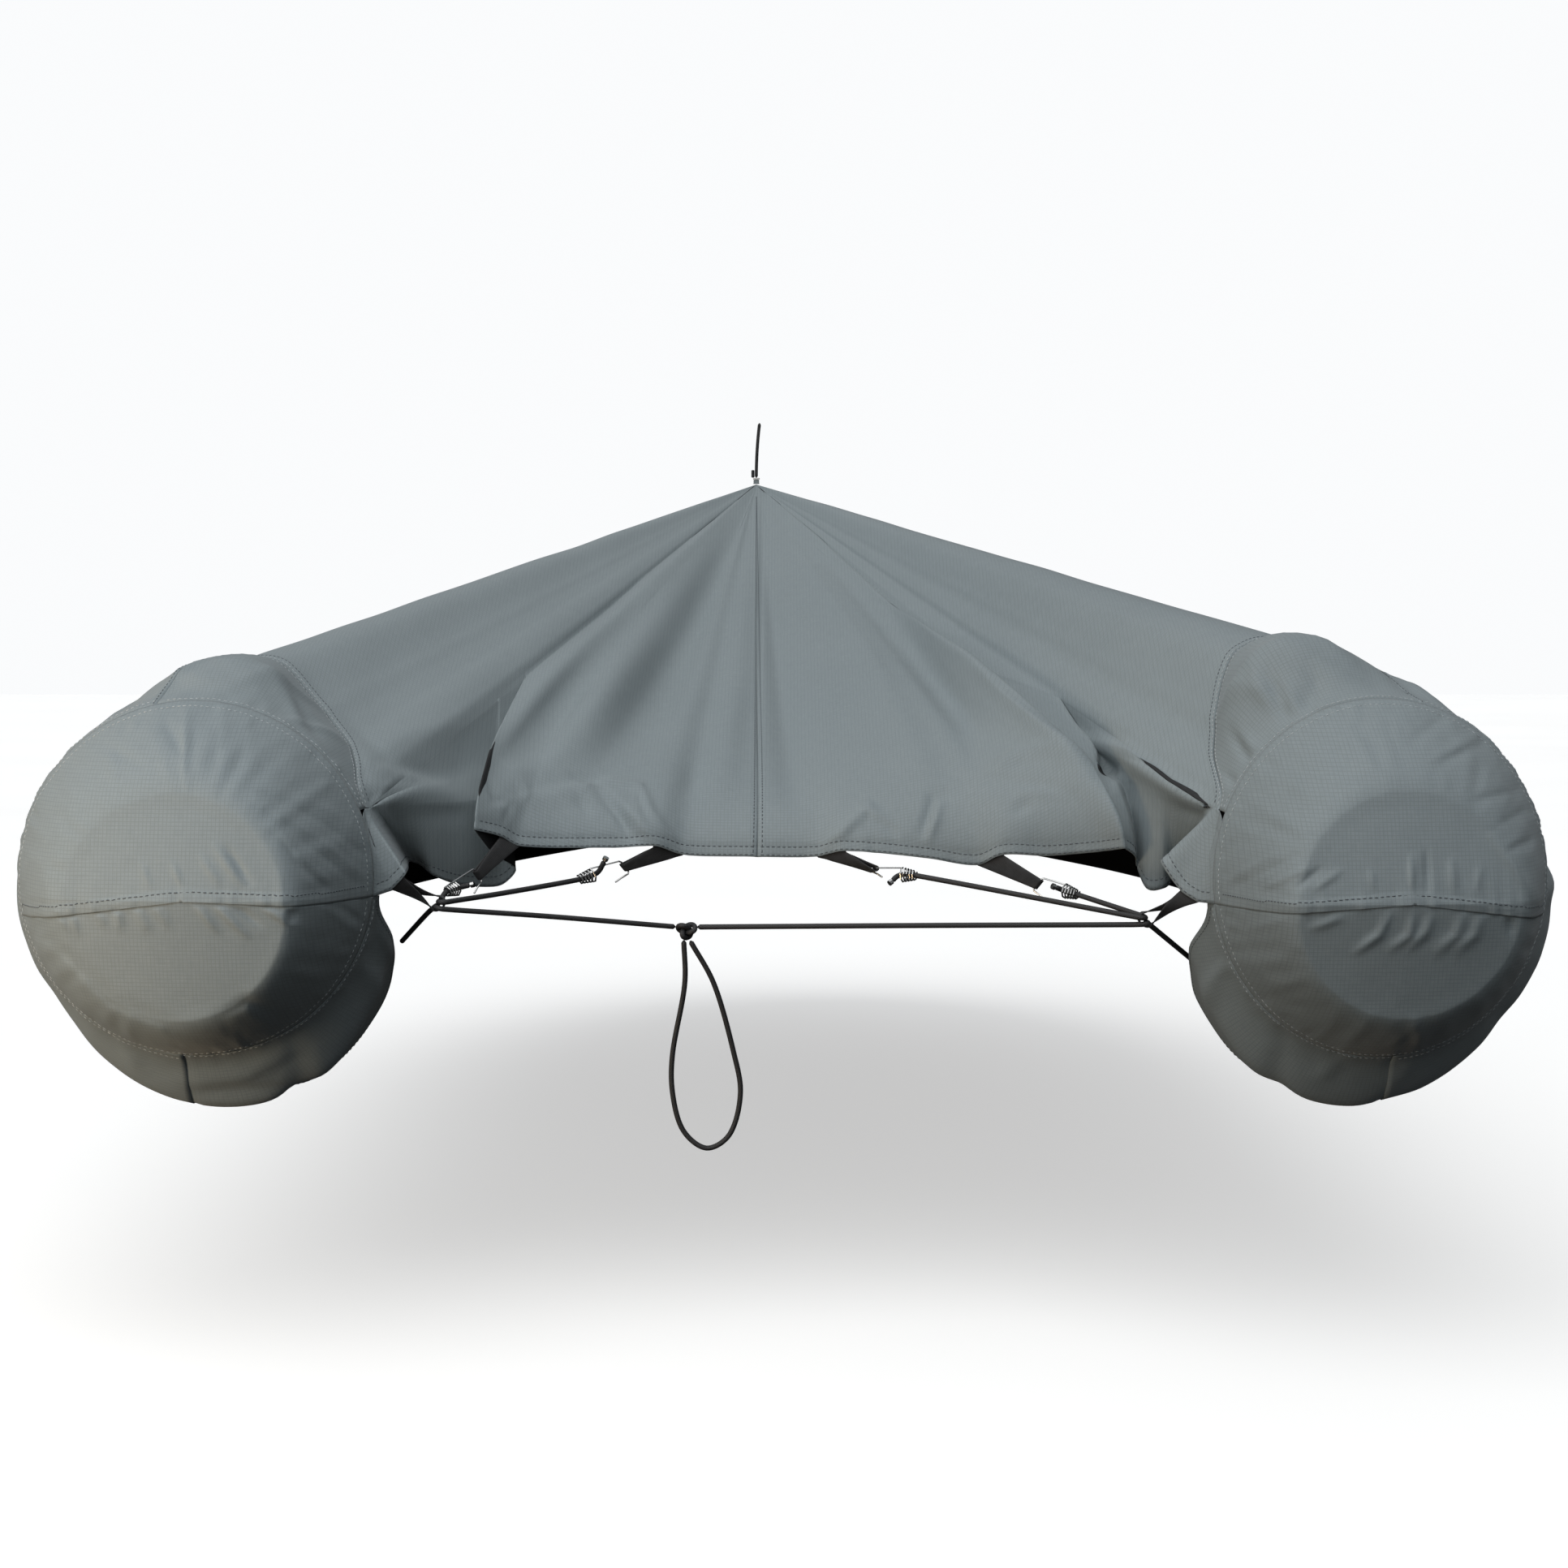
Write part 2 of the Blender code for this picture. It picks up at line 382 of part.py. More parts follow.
class TopHalf:
    """One half of the top: runs of cloth down from the peak, each with its own bends."""

    def __init__(self, sock, tail, hanging, cross, taut_start):
        self.sock = sock
        self.peak = np.array(PEAK)
        self.notch = tube_cloth(sock, sock["notch_angle"], NOTCH_FORWARD)
        taut = [self.peak, self.peak + (self.notch - self.peak) * taut_start, self.notch]
        self.taut_line = [
            taut[0] + (taut[1] - taut[0]) * row for row in SLOPE_ROWS
        ] + [taut[1] + (taut[2] - taut[1]) * (row - 1.0) for row in FOLD_ROWS + (2.0,)]
        self.joined = tail[-1][3] == "taut line"
        self.tail_columns = self.make_tail(tail)
        self.hanging_columns = self.make_hanging(hanging)
        self.cross_places = [(sock["notch_angle"], NOTCH_FORWARD)]
        self.cross_places += [(angle, forward) for angle, forward in cross]
        self.cross_places.append((CREST_ANGLE, CREST_STATIONS[0]))
        self.seam_columns = []
        for angle, forward in cross:
            self.seam_columns.append(self.seam_column(tube_cloth(sock, angle, forward)))
        for station in CREST_STATIONS:
            point = tube_cloth(sock, CREST_ANGLE, station)
            if station == CREST_STATIONS[-1]:
                point[0] = 0.0
            self.seam_columns.append(self.seam_column(point))

    def make_tail(self, tail):
        """Whole columns from the peak to the hem, with the long soft folds."""
        along = [0.0]
        for one, two in zip(tail, tail[1:]):
            along.append(along[-1] + math.dist(one[1], two[1]))
        knots = []
        for _, hem, edge, where, _ in tail:
            hem, edge = np.array(hem), np.array(edge)
            if isinstance(where, tuple):
                start = np.array(where)
            elif where == "taut line":
                start = self.taut_line[len(SLOPE_ROWS)]
            else:
                start = self.peak + (edge - self.peak) * where
            knots.append(np.array([self.peak, start, edge, hem]))
        columns = []
        for i, row in enumerate(tail):
            for k in range(row[4] if i < len(tail) - 1 else 1):
                at = along[i] + (along[min(i + 1, len(tail) - 1)] - along[i]) * k / row[4]
                here = spline(along, knots, at)
                columns.append([
                    rounded_run(here, r) + self.fold_lift(at, r) for r in SLOPE_ROWS + FOLD_ROWS + EDGE_ROWS
                ])
        return columns

    def make_hanging(self, hanging):
        """Columns that hang from the taut line, the last one along the tube end's round seam."""
        first = len(SLOPE_ROWS)
        columns = []
        for _, hem, edge, number, sag in hanging:
            top = self.taut_line[first + number]
            knots = (top, np.array(edge), np.array(hem))
            together = 3 if number == 3 else 2
            column = [top] * together
            for row in (FOLD_ROWS + EDGE_ROWS)[together:]:
                hollow = sag * math.sin(math.pi * min(row - 1.0, 1.0))
                column.append(rounded_run(knots, row - 1.0) + SAG_WAY * hollow)
            columns.append(column)
        low, high = self.sock["level_in"], self.sock["notch_angle"]
        seam = [
            tube_cloth(self.sock, high + (low - high) * (row - 2.0), SEAM_FORWARD) for row in EDGE_ROWS[1:]
        ]
        columns.append([self.taut_line[first + 3]] * len(FOLD_ROWS) + [self.taut_line[-1]] + seam)
        return columns

    def seam_column(self, foot):
        """A straight column from the peak to a point of the seam."""
        rows = [row * 0.86 for row in SLOPE_ROWS]
        rows += [0.86 + (row - 1.0) * 0.14 for row in FOLD_ROWS + (2.0,)]
        return [self.peak + (foot - self.peak) * row for row in rows]

    def fold_lift(self, along, row):
        where = along * self.sock["side"] - 0.03
        lift = 0.0
        for _, low, high, top, foot, wide, height in TOP_FOLDS:
            if top < row < foot:
                t = (row - top) / (foot - top)
                away = (where - high - (low - high) * t) / wide
                lift += height * math.exp(-away * away) * math.sin(math.pi * t) ** 1.2
        return np.array((0.0, -0.41, 0.91)) * lift

    def grids(self):
        """Grids of points that share their edge points: tail, wedge, hanging part and the rest."""
        first = len(SLOPE_ROWS)
        front = self.tail_columns[-1]
        side = self.sock["side"]
        middle = np.array((side * MIDDLE_SEAM_GAP, 0.0, 0.0))
        hub = self.peak + middle
        self.taut_line[0] = hub
        for column in self.tail_columns + self.seam_columns:
            column[0] = hub
        for column in (self.tail_columns[0], self.seam_columns[-1]):
            column[1:] = [point + middle for point in column[1:]]
        if self.joined:
            front[: first + 1] = self.taut_line[: first + 1]
        for column in self.seam_columns:
            column[-1] = column[-1] + unit(column[-2] - column[-1]) * BENT_SEAM_GAP
        last, before = self.hanging_columns[-1], self.hanging_columns[-2]
        for j in range(len(FOLD_ROWS) + 1, len(last)):
            last[j] = last[j] + unit(before[j] - last[j]) * FLAP_SEAM_GAP
        self.taut_line[-1] += unit(self.taut_line[-2] - self.taut_line[-1]) * FLAP_SEAM_GAP
        return (
            self.tail_columns,
            [front[: first + 1], self.taut_line[: first + 1]],
            [front[first:]] + self.hanging_columns,
            [self.taut_line] + self.seam_columns,
        )


# ---- making the objects


def clear_scene():
    for obj in list(bpy.data.objects):
        bpy.data.objects.remove(obj, do_unlink=True)


def shade(name):
    found = bpy.data.materials.get(name)
    if found:
        return found
    colour, roughness, metallic = SHADES[name]
    found = bpy.data.materials.new(name)
    found.use_nodes = True
    shader = found.node_tree.nodes["Principled BSDF"]
    shader.inputs["Base Color"].default_value = (*colour, 1.0)
    shader.inputs["Roughness"].default_value = roughness
    shader.inputs["Metallic"].default_value = metallic
    found.diffuse_color = (*colour, 1.0)
    return found


def add_object(collection, name, data, material):
    obj = bpy.data.objects.new(name, data)
    data.materials.append(shade(material))
    collection.objects.link(obj)
    return obj


def pull_back(columns, edges):
    """Moves the edges of a panel in from its seams. Each edge: which one, and how far."""
    moved = [[point.copy() for point in column] for column in columns]
    for edge, gap in edges:
        if edge == "first":
            for j, point in enumerate(columns[0]):
                moved[0][j] += unit(columns[1][j] - point) * gap
        elif edge == "last":
            for j, point in enumerate(columns[-1]):
                moved[-1][j] += unit(columns[-2][j] - point) * gap
        elif edge == "top":
            for i, column in enumerate(columns):
                moved[i][0] += unit(column[1] - column[0]) * gap
        elif edge == "foot":
            for i, column in enumerate(columns):
                moved[i][-1] += unit(column[-2] - column[-1]) * gap
    return moved


def cloth_sheet(collection, name, grids, flip):
    """A thin sheet from grids of points, given thickness by Solidify. Same points are shared."""
    bm = bmesh.new()
    made = {}
    for grid in grids:
        for column in grid:
            for point in column:
                if id(point) not in made:
                    made[id(point)] = bm.verts.new(to_frame(point))
    for grid in grids:
        for left, right in zip(grid, grid[1:]):
            for j in range(min(len(left), len(right)) - 1):
                ring = [made[id(p)] for p in (left[j], left[j + 1], right[j + 1], right[j])]
                ring = [v for k, v in enumerate(ring) if v not in ring[:k]]
                if len(ring) > 2:
                    bm.faces.new(ring[::-1] if flip else ring)
    bmesh.ops.triangulate(bm, faces=bm.faces, quad_method="BEAUTY")
    mesh = bpy.data.meshes.new(name)
    bm.to_mesh(mesh)
    bm.free()
    mesh.shade_smooth()
    obj = add_object(collection, name, mesh, "cover_cloth")
    solid = obj.modifiers.new("Thickness", "SOLIDIFY")
    solid.thickness = CLOTH_THICK
    solid.offset = 0.0
    return obj


def make_tops(collection, halves):
    for half, flip in zip(halves, (True, False)):
        cloth_sheet(collection, "top_" + half.sock["name"], half.grids(), flip)


def side_angles(station):
    """Angles down a side panel from the crest seam to its foot. One lies on the end's level seam."""
    top, foot, level = crest_angle(station), skirt_foot(station), -102.0
    upper = [top + (level - top) * k / 7 for k in range(7)]
    return upper + [level + (foot - level) * k / 5 for k in range(6)]


def gore_angles(sock, count):
    """Angles along the round seam from the notch to the crest seam."""
    return np.linspace(sock["notch_angle"], crest_angle(SEAM_FORWARD), count)


def under_angles(sock):
    """Angles from the inboard end of the level seam to the seam under the tube."""
    return np.linspace(sock["level_in"], UNDER_ANGLE, 10)


def make_gores(collection, halves):
    for half, flip in zip(halves, (True, False)):
        sock = half.sock
        far = half.cross_places
        crest = list(SEAM_STATIONS) + [CREST_STATIONS[0]]
        columns = []
        for i, angle in enumerate(gore_angles(sock, len(far))[:-1]):
            end_angle, end_forward = far[i]
            column = []
            for t in np.linspace(0.0, 1.0, len(crest)):
                forward = SEAM_FORWARD + (end_forward - SEAM_FORWARD) * t
                column.append(tube_cloth(sock, angle + (end_angle - angle) * t, forward))
            columns.append(column)
        columns.append([tube_cloth(sock, crest_angle(station), station) for station in crest])
        edges = (("last", SEAM_GAP), ("top", BENT_SEAM_GAP), ("foot", BENT_SEAM_GAP))
        cloth_sheet(collection, "gore_" + sock["name"], [pull_back(columns, edges)], flip)


def make_sides(collection):
    stations = SEAM_STATIONS + CREST_STATIONS
    for sock, flip in ((LEFT, False), (RIGHT, True)):
        columns = []
        for station in stations:
            columns.append([tube_cloth(sock, angle, station) for angle in side_angles(station)])
        for point in columns[-1]:
            point[0] = sock["side"] * 2 * SEAM_GAP
        edges = (("first", BENT_SEAM_GAP), ("top", SEAM_GAP), ("foot", SEAM_GAP))
        cloth_sheet(collection, "side_" + sock["name"], [pull_back(columns, edges)], flip)


def make_unders(collection):
    for sock, flip in ((LEFT, False), (RIGHT, True)):
        columns = []
        for angle in under_angles(sock):
            reach = 0.300 - 0.165 * (1.0 - smooth((angle - sock["level_in"]) / 34.0))
            if angle > UNDER_ANGLE - 0.1:
                stations = SEAM_STATIONS
            else:
                share = (reach - SEAM_FORWARD) / (SEAM_STATIONS[-1] - SEAM_FORWARD)
                stations = [SEAM_FORWARD + (s - SEAM_FORWARD) * share for s in SEAM_STATIONS]
            columns.append([tube_cloth(sock, angle, station) for station in stations])
        edges = (("first", SEAM_GAP), ("last", SEAM_GAP), ("top", BENT_SEAM_GAP))
        cloth_sheet(collection, "under_" + sock["name"], [pull_back(columns, edges)], flip)


def make_ends(collection, halves):
    rows = (0.0, 0.5, 0.88, 1.0, 1.12, 1.5, 2.0)
    for half in halves:
        sock = half.sock
        sides = side_angles(SEAM_FORWARD)
        flap = [sock["notch_angle"] + (sock["level_in"] - sock["notch_angle"]) * (row - 2.0)
                for row in EDGE_ROWS[1:]]
        gore = list(gore_angles(sock, len(half.cross_places)))
        upper = sides[:8][::-1] + gore[::-1][1:] + flap
        lower = list(under_angles(sock)) + [angle + 360.0 for angle in sides[7:][::-1][1:]]
        for label, angles in (("end_upper_", upper), ("end_lower_", lower)):
            columns = [[tube_end(sock, angle, row) for row in rows] for angle in angles]
            edges = (("first", SEAM_GAP), ("last", SEAM_GAP), ("foot", BENT_SEAM_GAP))
            columns = pull_back(columns, edges)
            middle = columns[len(columns) // 2]
            hub = columns[0][0] + unit(middle[1] - middle[0]) * SEAM_GAP
            for column in columns:
                column[0] = hub
            cloth_sheet(collection, label + sock["name"], [columns], sock is LEFT)


def strap_root(tail, first, second):
    """Where a loop is sewn behind the hem between two rows of the tail, and the way up there."""
    rows = {name: (np.array(hem), np.array(edge)) for name, hem, edge, _, _ in tail}
    (hem_a, edge_a), (hem_b, edge_b) = rows[first], rows[second]
    up = unit((edge_a - hem_a) + (edge_b - hem_b))
    inward = unit(np.cross(hem_b - hem_a, up))
    if inward[1] < 0.0:
        inward = -inward
    back = inward * (CLOTH_THICK / 2 + 0.0010 + WEB_THICK + WEB_LAYERS_APART / 2)
    return hem_a + back, hem_b + back, up * WEB_TUCK


def make_loop(collection, row):
    """A flat strap that runs out from the hem, round the far end and back again."""
    name, tail, first, second, tip_a, tip_b, room = row
    root_a, root_b, tuck = strap_root(tail, first, second)
    tip_a, tip_b = np.array(tip_a), np.array(tip_b)
    root, tip = (root_a + root_b) / 2, (tip_a + tip_b) / 2
    half_root, half_tip = (WEB_THICK + WEB_LAYERS_APART) / 2, (room + WEB_THICK) / 2
    forth = unit(tip - root)
    path = []
    for share in (-1.0, 0.0, 0.12, 0.24, 0.36, 0.5, 0.65, 0.8, 0.92, 1.0):
        t = max(share, 0.0)
        wide = (root_b - root_a) * (1 - t) + (tip_b - tip_a) * t
        along = forth * smooth(t / 0.3) + unit(-tuck) * (1.0 - smooth(t / 0.3))
        face = unit(np.cross(along, wide))
        centre = root + (tip - root) * t + tuck * max(-share, 0.0)
        apart = half_root + (half_tip - half_root) * t ** 3 + LOOP_BELLY * math.sin(math.pi * t)
        path.append((centre, wide, face, apart))
    centre, wide, face, apart = path[-1]
    rings = [(c + f * a, w, f) for c, w, f, a in path]
    for k in range(1, 6):
        turn = math.pi * k / 6
        way = face * math.cos(turn) + forth * math.sin(turn)
        rings.append((centre + way * apart, wide, way))
    rings += [(c - f * a, w, -f) for c, w, f, a in reversed(path)]
    bm = bmesh.new()
    loops = []
    for centre, wide, face in rings:
        corners = []
        for across, out in ((-1, -1), (1, -1), (1, 1), (-1, 1)):
            corners.append(centre + wide * (across / 2) + face * (out * WEB_THICK / 2))
        loops.append([bm.verts.new(to_frame(corner)) for corner in corners])
    for one, two in zip(loops, loops[1:]):
        for a, b in ((0, 1), (3, 2)):
            bm.faces.new((one[a], one[b], two[b]))
            bm.faces.new((one[a], two[b], two[a]))
        for a, b in ((1, 2), (3, 0)):
            bm.faces.new((one[a], one[b], two[b], two[a]))
    bm.faces.new(loops[0][::-1])
    bm.faces.new(loops[-1])
    bmesh.ops.recalc_face_normals(bm, faces=bm.faces)
    mesh = bpy.data.meshes.new(name)
    bm.to_mesh(mesh)
    bm.free()
    return add_object(collection, name, mesh, "black_webbing")


def tube(collection, name, points, radius, material, closed=False):
    """A round tube along points, as a curve with a bevel and filled caps."""
    curve = bpy.data.curves.new(name, "CURVE")
    curve.dimensions = "3D"
    curve.bevel_depth = radius
    curve.bevel_resolution = 2
    curve.use_fill_caps = True
    path = curve.splines.new("POLY")
    path.points.add(len(points) - 1)
    for slot, point in zip(path.points, points):
        slot.co = (*to_frame(point), 1.0)
    path.use_cyclic_u = closed
    return add_object(collection, name, curve, material)


def cord_points(route, spacing):
    """Evenly spaced points on a smooth curve through a route."""
    route = [np.array(p) for p in route]
    knots = [0.0]
    for a, b in zip(route, route[1:]):
        knots.append(knots[-1] + float(np.linalg.norm(b - a)) ** 0.5)
    fine = [spline(knots, route, at) for at in np.linspace(0.0, knots[-1], 40 * len(route))]
    lengths = np.concatenate([[0.0], np.cumsum([np.linalg.norm(b - a) for a, b in zip(fine, fine[1:])])])
    count = max(int(round(lengths[-1] / spacing)), 3)
    wanted = np.linspace(0.0, lengths[-1], count + 1)
    fine = np.array(fine)
    return [np.array([np.interp(at, lengths, fine[:, k]) for k in range(3)]) for at in wanted]


def hook_points(row):
    """The wire of a hook: conical coil, straight leg, the bend in the webbing and the free tip."""
    _, narrow, wide, leg, back, tip = row
    narrow, wide, leg, back, tip = (np.array(p) for p in (narrow, wide, leg, back, tip))
    axis = unit(wide - narrow)
    up = leg - wide + np.array((0.0, 0.010, 0.0))
    up = unit(up - axis * float(np.dot(up, axis)))
    level = np.cross(axis, up)
    points = []
    count = COIL_TURNS * COIL_STEPS
    for k in range(count + 1):
        t = k / count
        turn = 2 * math.pi * COIL_TURNS * (t - 1.0)
        r = COIL_NARROW_R + (COIL_WIDE_R - COIL_NARROW_R) * t
        points.append(narrow + (wide - narrow) * t + (up * math.cos(turn) + level * math.sin(turn)) * r)
    forth = unit(leg - points[-1])
    points.append(leg - forth * 0.002)
    points.append(leg + (back - leg) * 0.12)
    points.append(back + (leg - back) * 0.12)
    down = unit(tip - back)
    points.append(back + down * 0.002)
    points.append(back + (tip - back) * 0.55 - forth * 0.0012)
    points.append(tip)
    return points


def make_clip(collection, number, end, before):
    """The bright clip pressed on a cord's end, just past the end's flat face."""
    way = unit(end - before)
    near = end + way * 0.0005
    far = near + way * CLIP_LONG
    tube(collection, f"clip_{number}", (near, (near + far) / 2, far), CLIP_R, "bright_wire")


def make_cords(collection):
    routes = (
        ("drawcord_left", DRAWCORD_LEFT), ("drawcord_right", DRAWCORD_RIGHT),
        ("drawcord_loop", DRAWCORD_LOOP), ("elastic_left", ELASTIC_LEFT),
        ("elastic_right", ELASTIC_RIGHT),
    )
    clips = {"elastic_left": (3, 2), "elastic_right": (5, 4)}
    for name, route in routes:
        points = cord_points(route, CORD_SPACING)
        tube(collection, name, points, CORD_R, "black_cord")
        if name in clips:
            first, last = clips[name]
            make_clip(collection, first, points[0], points[1])
            make_clip(collection, last, points[-1], points[-2])


def make_knot(collection):
    """The knot as one lump, a little wider than high."""
    bm = bmesh.new()
    bmesh.ops.create_uvsphere(bm, u_segments=10, v_segments=7, radius=1.0)
    for vert in bm.verts:
        vert.co.x *= KNOT_SIZE[0]
        vert.co.y *= KNOT_SIZE[1]
        vert.co.z *= KNOT_SIZE[2]
    mesh = bpy.data.meshes.new("drawcord_knot")
    bm.to_mesh(mesh)
    bm.free()
    mesh.shade_smooth()
    obj = add_object(collection, "drawcord_knot", mesh, "black_cord")
    obj.location = to_frame(KNOT_PLACE)


def rounded_block(collection, name, centre, size, round_off, material):
    """A small block with rounded edges."""
    bm = bmesh.new()
    bmesh.ops.create_cube(bm, size=1.0)
    for vert in bm.verts:
        vert.co.x *= size[0]
        vert.co.y *= size[1]
        vert.co.z *= size[2]
    mesh = bpy.data.meshes.new(name)
    bm.to_mesh(mesh)
    bm.free()
    obj = add_object(collection, name, mesh, material)
    obj.location = to_frame(centre)
    bevel = obj.modifiers.new("Round", "BEVEL")
    bevel.width = round_off
    bevel.segments = 2
    return obj


def make_peak(collection):
    x, forward, up = PEAK
    tab_up = up + CLOTH_THICK / 2 + 0.0003 + TAB_HIGH / 2
    tab_size = (TAB_WIDE, TAB_DEEP, TAB_HIGH)
    rounded_block(collection, "peak_tab", (x, forward, tab_up), tab_size, TAB_ROUND, "cover_cloth")
    ring_up = tab_up + TAB_HIGH / 2 + 0.0003 + RING_HIGH / 2
    ring_size = (RING_WIDE, RING_DEEP, RING_HIGH)
    rounded_block(collection, "peak_ring", (x, forward, ring_up), ring_size, RING_ROUND, "pale_ring")
    foot = ring_up + RING_HIGH / 2 + 0.0003
    points = []
    for k in range(9):
        t = k / 8
        points.append(np.array((x + PEAK_CORD_LEAN * t * t, forward, foot + PEAK_CORD_HIGH * t)))
    tube(collection, "peak_cord", points, PEAK_CORD_R, "black_cord")
    side = np.array((x - 2 * PEAK_CORD_R - 0.0003, forward, foot))
    splice = [side + np.array((0.0, 0.0, PEAK_SPLICE_HIGH * k / 2)) for k in range(3)]
    tube(collection, "peak_cord_end", splice, PEAK_CORD_R, "black_cord")


def main():
    clear_scene()
    collection = bpy.data.collections.new("boat_cover")
    bpy.context.scene.collection.children.link(collection)
    halves = (
        TopHalf(LEFT, LEFT_TAIL, LEFT_HANGING, LEFT_CROSS, LEFT_TAUT_START),
        TopHalf(RIGHT, RIGHT_TAIL, RIGHT_HANGING, RIGHT_CROSS, RIGHT_TAUT_START),
    )
    make_tops(collection, halves)
    make_gores(collection, halves)
    make_sides(collection)
    make_unders(collection)
    make_ends(collection, halves)
    for row in LOOPS:
        make_loop(collection, row)
    for row in HOOKS:
        tube(collection, f"hook_{row[0]}", hook_points(row), WIRE_R, "bright_wire")
    make_cords(collection)
    make_knot(collection)
    make_peak(collection)


main()
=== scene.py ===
import json
import math

import bpy
import numpy as np
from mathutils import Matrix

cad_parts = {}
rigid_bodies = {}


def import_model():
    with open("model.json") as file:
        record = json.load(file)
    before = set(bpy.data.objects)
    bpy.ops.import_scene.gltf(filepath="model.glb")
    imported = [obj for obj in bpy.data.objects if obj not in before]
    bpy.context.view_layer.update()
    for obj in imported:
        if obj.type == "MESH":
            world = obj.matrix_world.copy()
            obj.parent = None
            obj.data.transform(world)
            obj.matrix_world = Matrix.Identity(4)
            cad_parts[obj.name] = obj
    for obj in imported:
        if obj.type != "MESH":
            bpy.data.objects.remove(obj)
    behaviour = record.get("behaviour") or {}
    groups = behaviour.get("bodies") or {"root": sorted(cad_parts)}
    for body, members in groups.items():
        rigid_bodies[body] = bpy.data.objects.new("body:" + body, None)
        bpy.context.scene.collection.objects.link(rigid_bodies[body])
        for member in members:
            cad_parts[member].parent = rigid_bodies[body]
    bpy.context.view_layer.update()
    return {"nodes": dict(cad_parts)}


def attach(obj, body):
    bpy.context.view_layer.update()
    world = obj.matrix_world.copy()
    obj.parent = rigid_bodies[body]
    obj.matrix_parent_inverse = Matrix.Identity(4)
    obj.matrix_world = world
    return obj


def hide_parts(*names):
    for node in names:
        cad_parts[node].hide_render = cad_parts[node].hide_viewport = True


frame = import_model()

# Places are (across, forward, up): across from the boat's middle plane, forward from the tube ends
# and up from the axes of its tubes, in metres. inFrame() turns them into the model's own frame.
heldForward = 1.200
heldUp = 0.464
peak = np.array((-0.0398, 1.200, 0.482))


def inFrame(places):
    return np.asarray(places, float) - np.array((0.0, heldForward, heldUp))


def smooth(t):
    t = np.clip(t, 0.0, 1.0)
    return t * t * (3.0 - 2.0 * t)


def ridge(distance, middle, wide, high):
    # A rounded ridge, or a groove where its height is below zero, at a distance from a line
    return high * np.exp(-((distance - middle) / wide) ** 2)


def unit(v):
    return v / np.maximum(np.linalg.norm(v, axis=-1, keepdims=True), 1e-12)


# The camera stands straight behind the stern, a little over the ground, and looks slightly down
cameraPlan = {"place": (0.0, -4.0, -0.236), "dip": 2.53, "sensor": 36.0, "lens": 63.63}


def makeCamera():
    data = bpy.data.cameras.new("sternCamera")
    data.sensor_width = cameraPlan["sensor"]
    data.lens = cameraPlan["lens"]
    data.clip_start = 0.05
    data.clip_end = 60.0
    camera = bpy.data.objects.new("sternCamera", data)
    camera.location = cameraPlan["place"]
    camera.rotation_euler = (math.radians(90.0 - cameraPlan["dip"]), 0.0, 0.0)
    bpy.context.collection.objects.link(camera)
    bpy.context.scene.camera = camera


makeCamera()
print("camera in place")


# Effects that several materials share
def newGroup(name, inputs, outputs):
    group = bpy.data.node_groups.new(name, "ShaderNodeTree")
    for label, kind, value in inputs:
        socket = group.interface.new_socket(name=label, in_out="INPUT", socket_type=kind)
        if value is not None:
            socket.default_value = value
    for label, kind in outputs:
        group.interface.new_socket(name=label, in_out="OUTPUT", socket_type=kind)
    entry = group.nodes.new("NodeGroupInput")
    result = group.nodes.new("NodeGroupOutput")
    return group, entry, result


def mathNode(tree, operation, first, second=None):
    node = tree.nodes.new("ShaderNodeMath")
    node.operation = operation
    for slotNumber, value in enumerate((first, second)):
        if value is None:
            continue
        if isinstance(value, (int, float)):
            node.inputs[slotNumber].default_value = value
        else:
            tree.links.new(value, node.inputs[slotNumber])
    return node.outputs[0]


def times(tree, first, second):
    return mathNode(tree, "MULTIPLY", first, second)


def mixColours(tree, share, one, two, blend="MIX"):
    node = tree.nodes.new("ShaderNodeMix")
    node.data_type = "RGBA"
    node.blend_type = blend
    for socket, value in ((node.inputs[0], share), (node.inputs[6], one), (node.inputs[7], two)):
        if isinstance(value, (int, float)):
            socket.default_value = value
        elif isinstance(value, tuple):
            socket.default_value = (*value, 1.0)
        else:
            tree.links.new(value, socket)
    return node.outputs[2]


def spanOf(tree, value, low, high):
    node = tree.nodes.new("ShaderNodeMapRange")
    tree.links.new(value, node.inputs[0])
    node.inputs[1].default_value = low
    node.inputs[2].default_value = high
    return node.outputs[0]


def noiseNode(tree, vector, scale, detail=3.0, roughness=0.5):
    node = tree.nodes.new("ShaderNodeTexNoise")
    node.inputs["Detail"].default_value = detail
    node.inputs["Roughness"].default_value = roughness
    if isinstance(scale, (int, float)):
        node.inputs["Scale"].default_value = scale
    else:
        tree.links.new(scale, node.inputs["Scale"])
    if vector is not None:
        tree.links.new(vector, node.inputs["Vector"])
    return node.outputs["Fac"]


def stretched(tree, vector, scale):
    node = tree.nodes.new("ShaderNodeMapping")
    node.inputs["Scale"].default_value = scale
    tree.links.new(vector, node.inputs["Vector"])
    return node.outputs[0]


checkLineShare = 0.09     # half of a check line's width, as a share of the checks' spacing


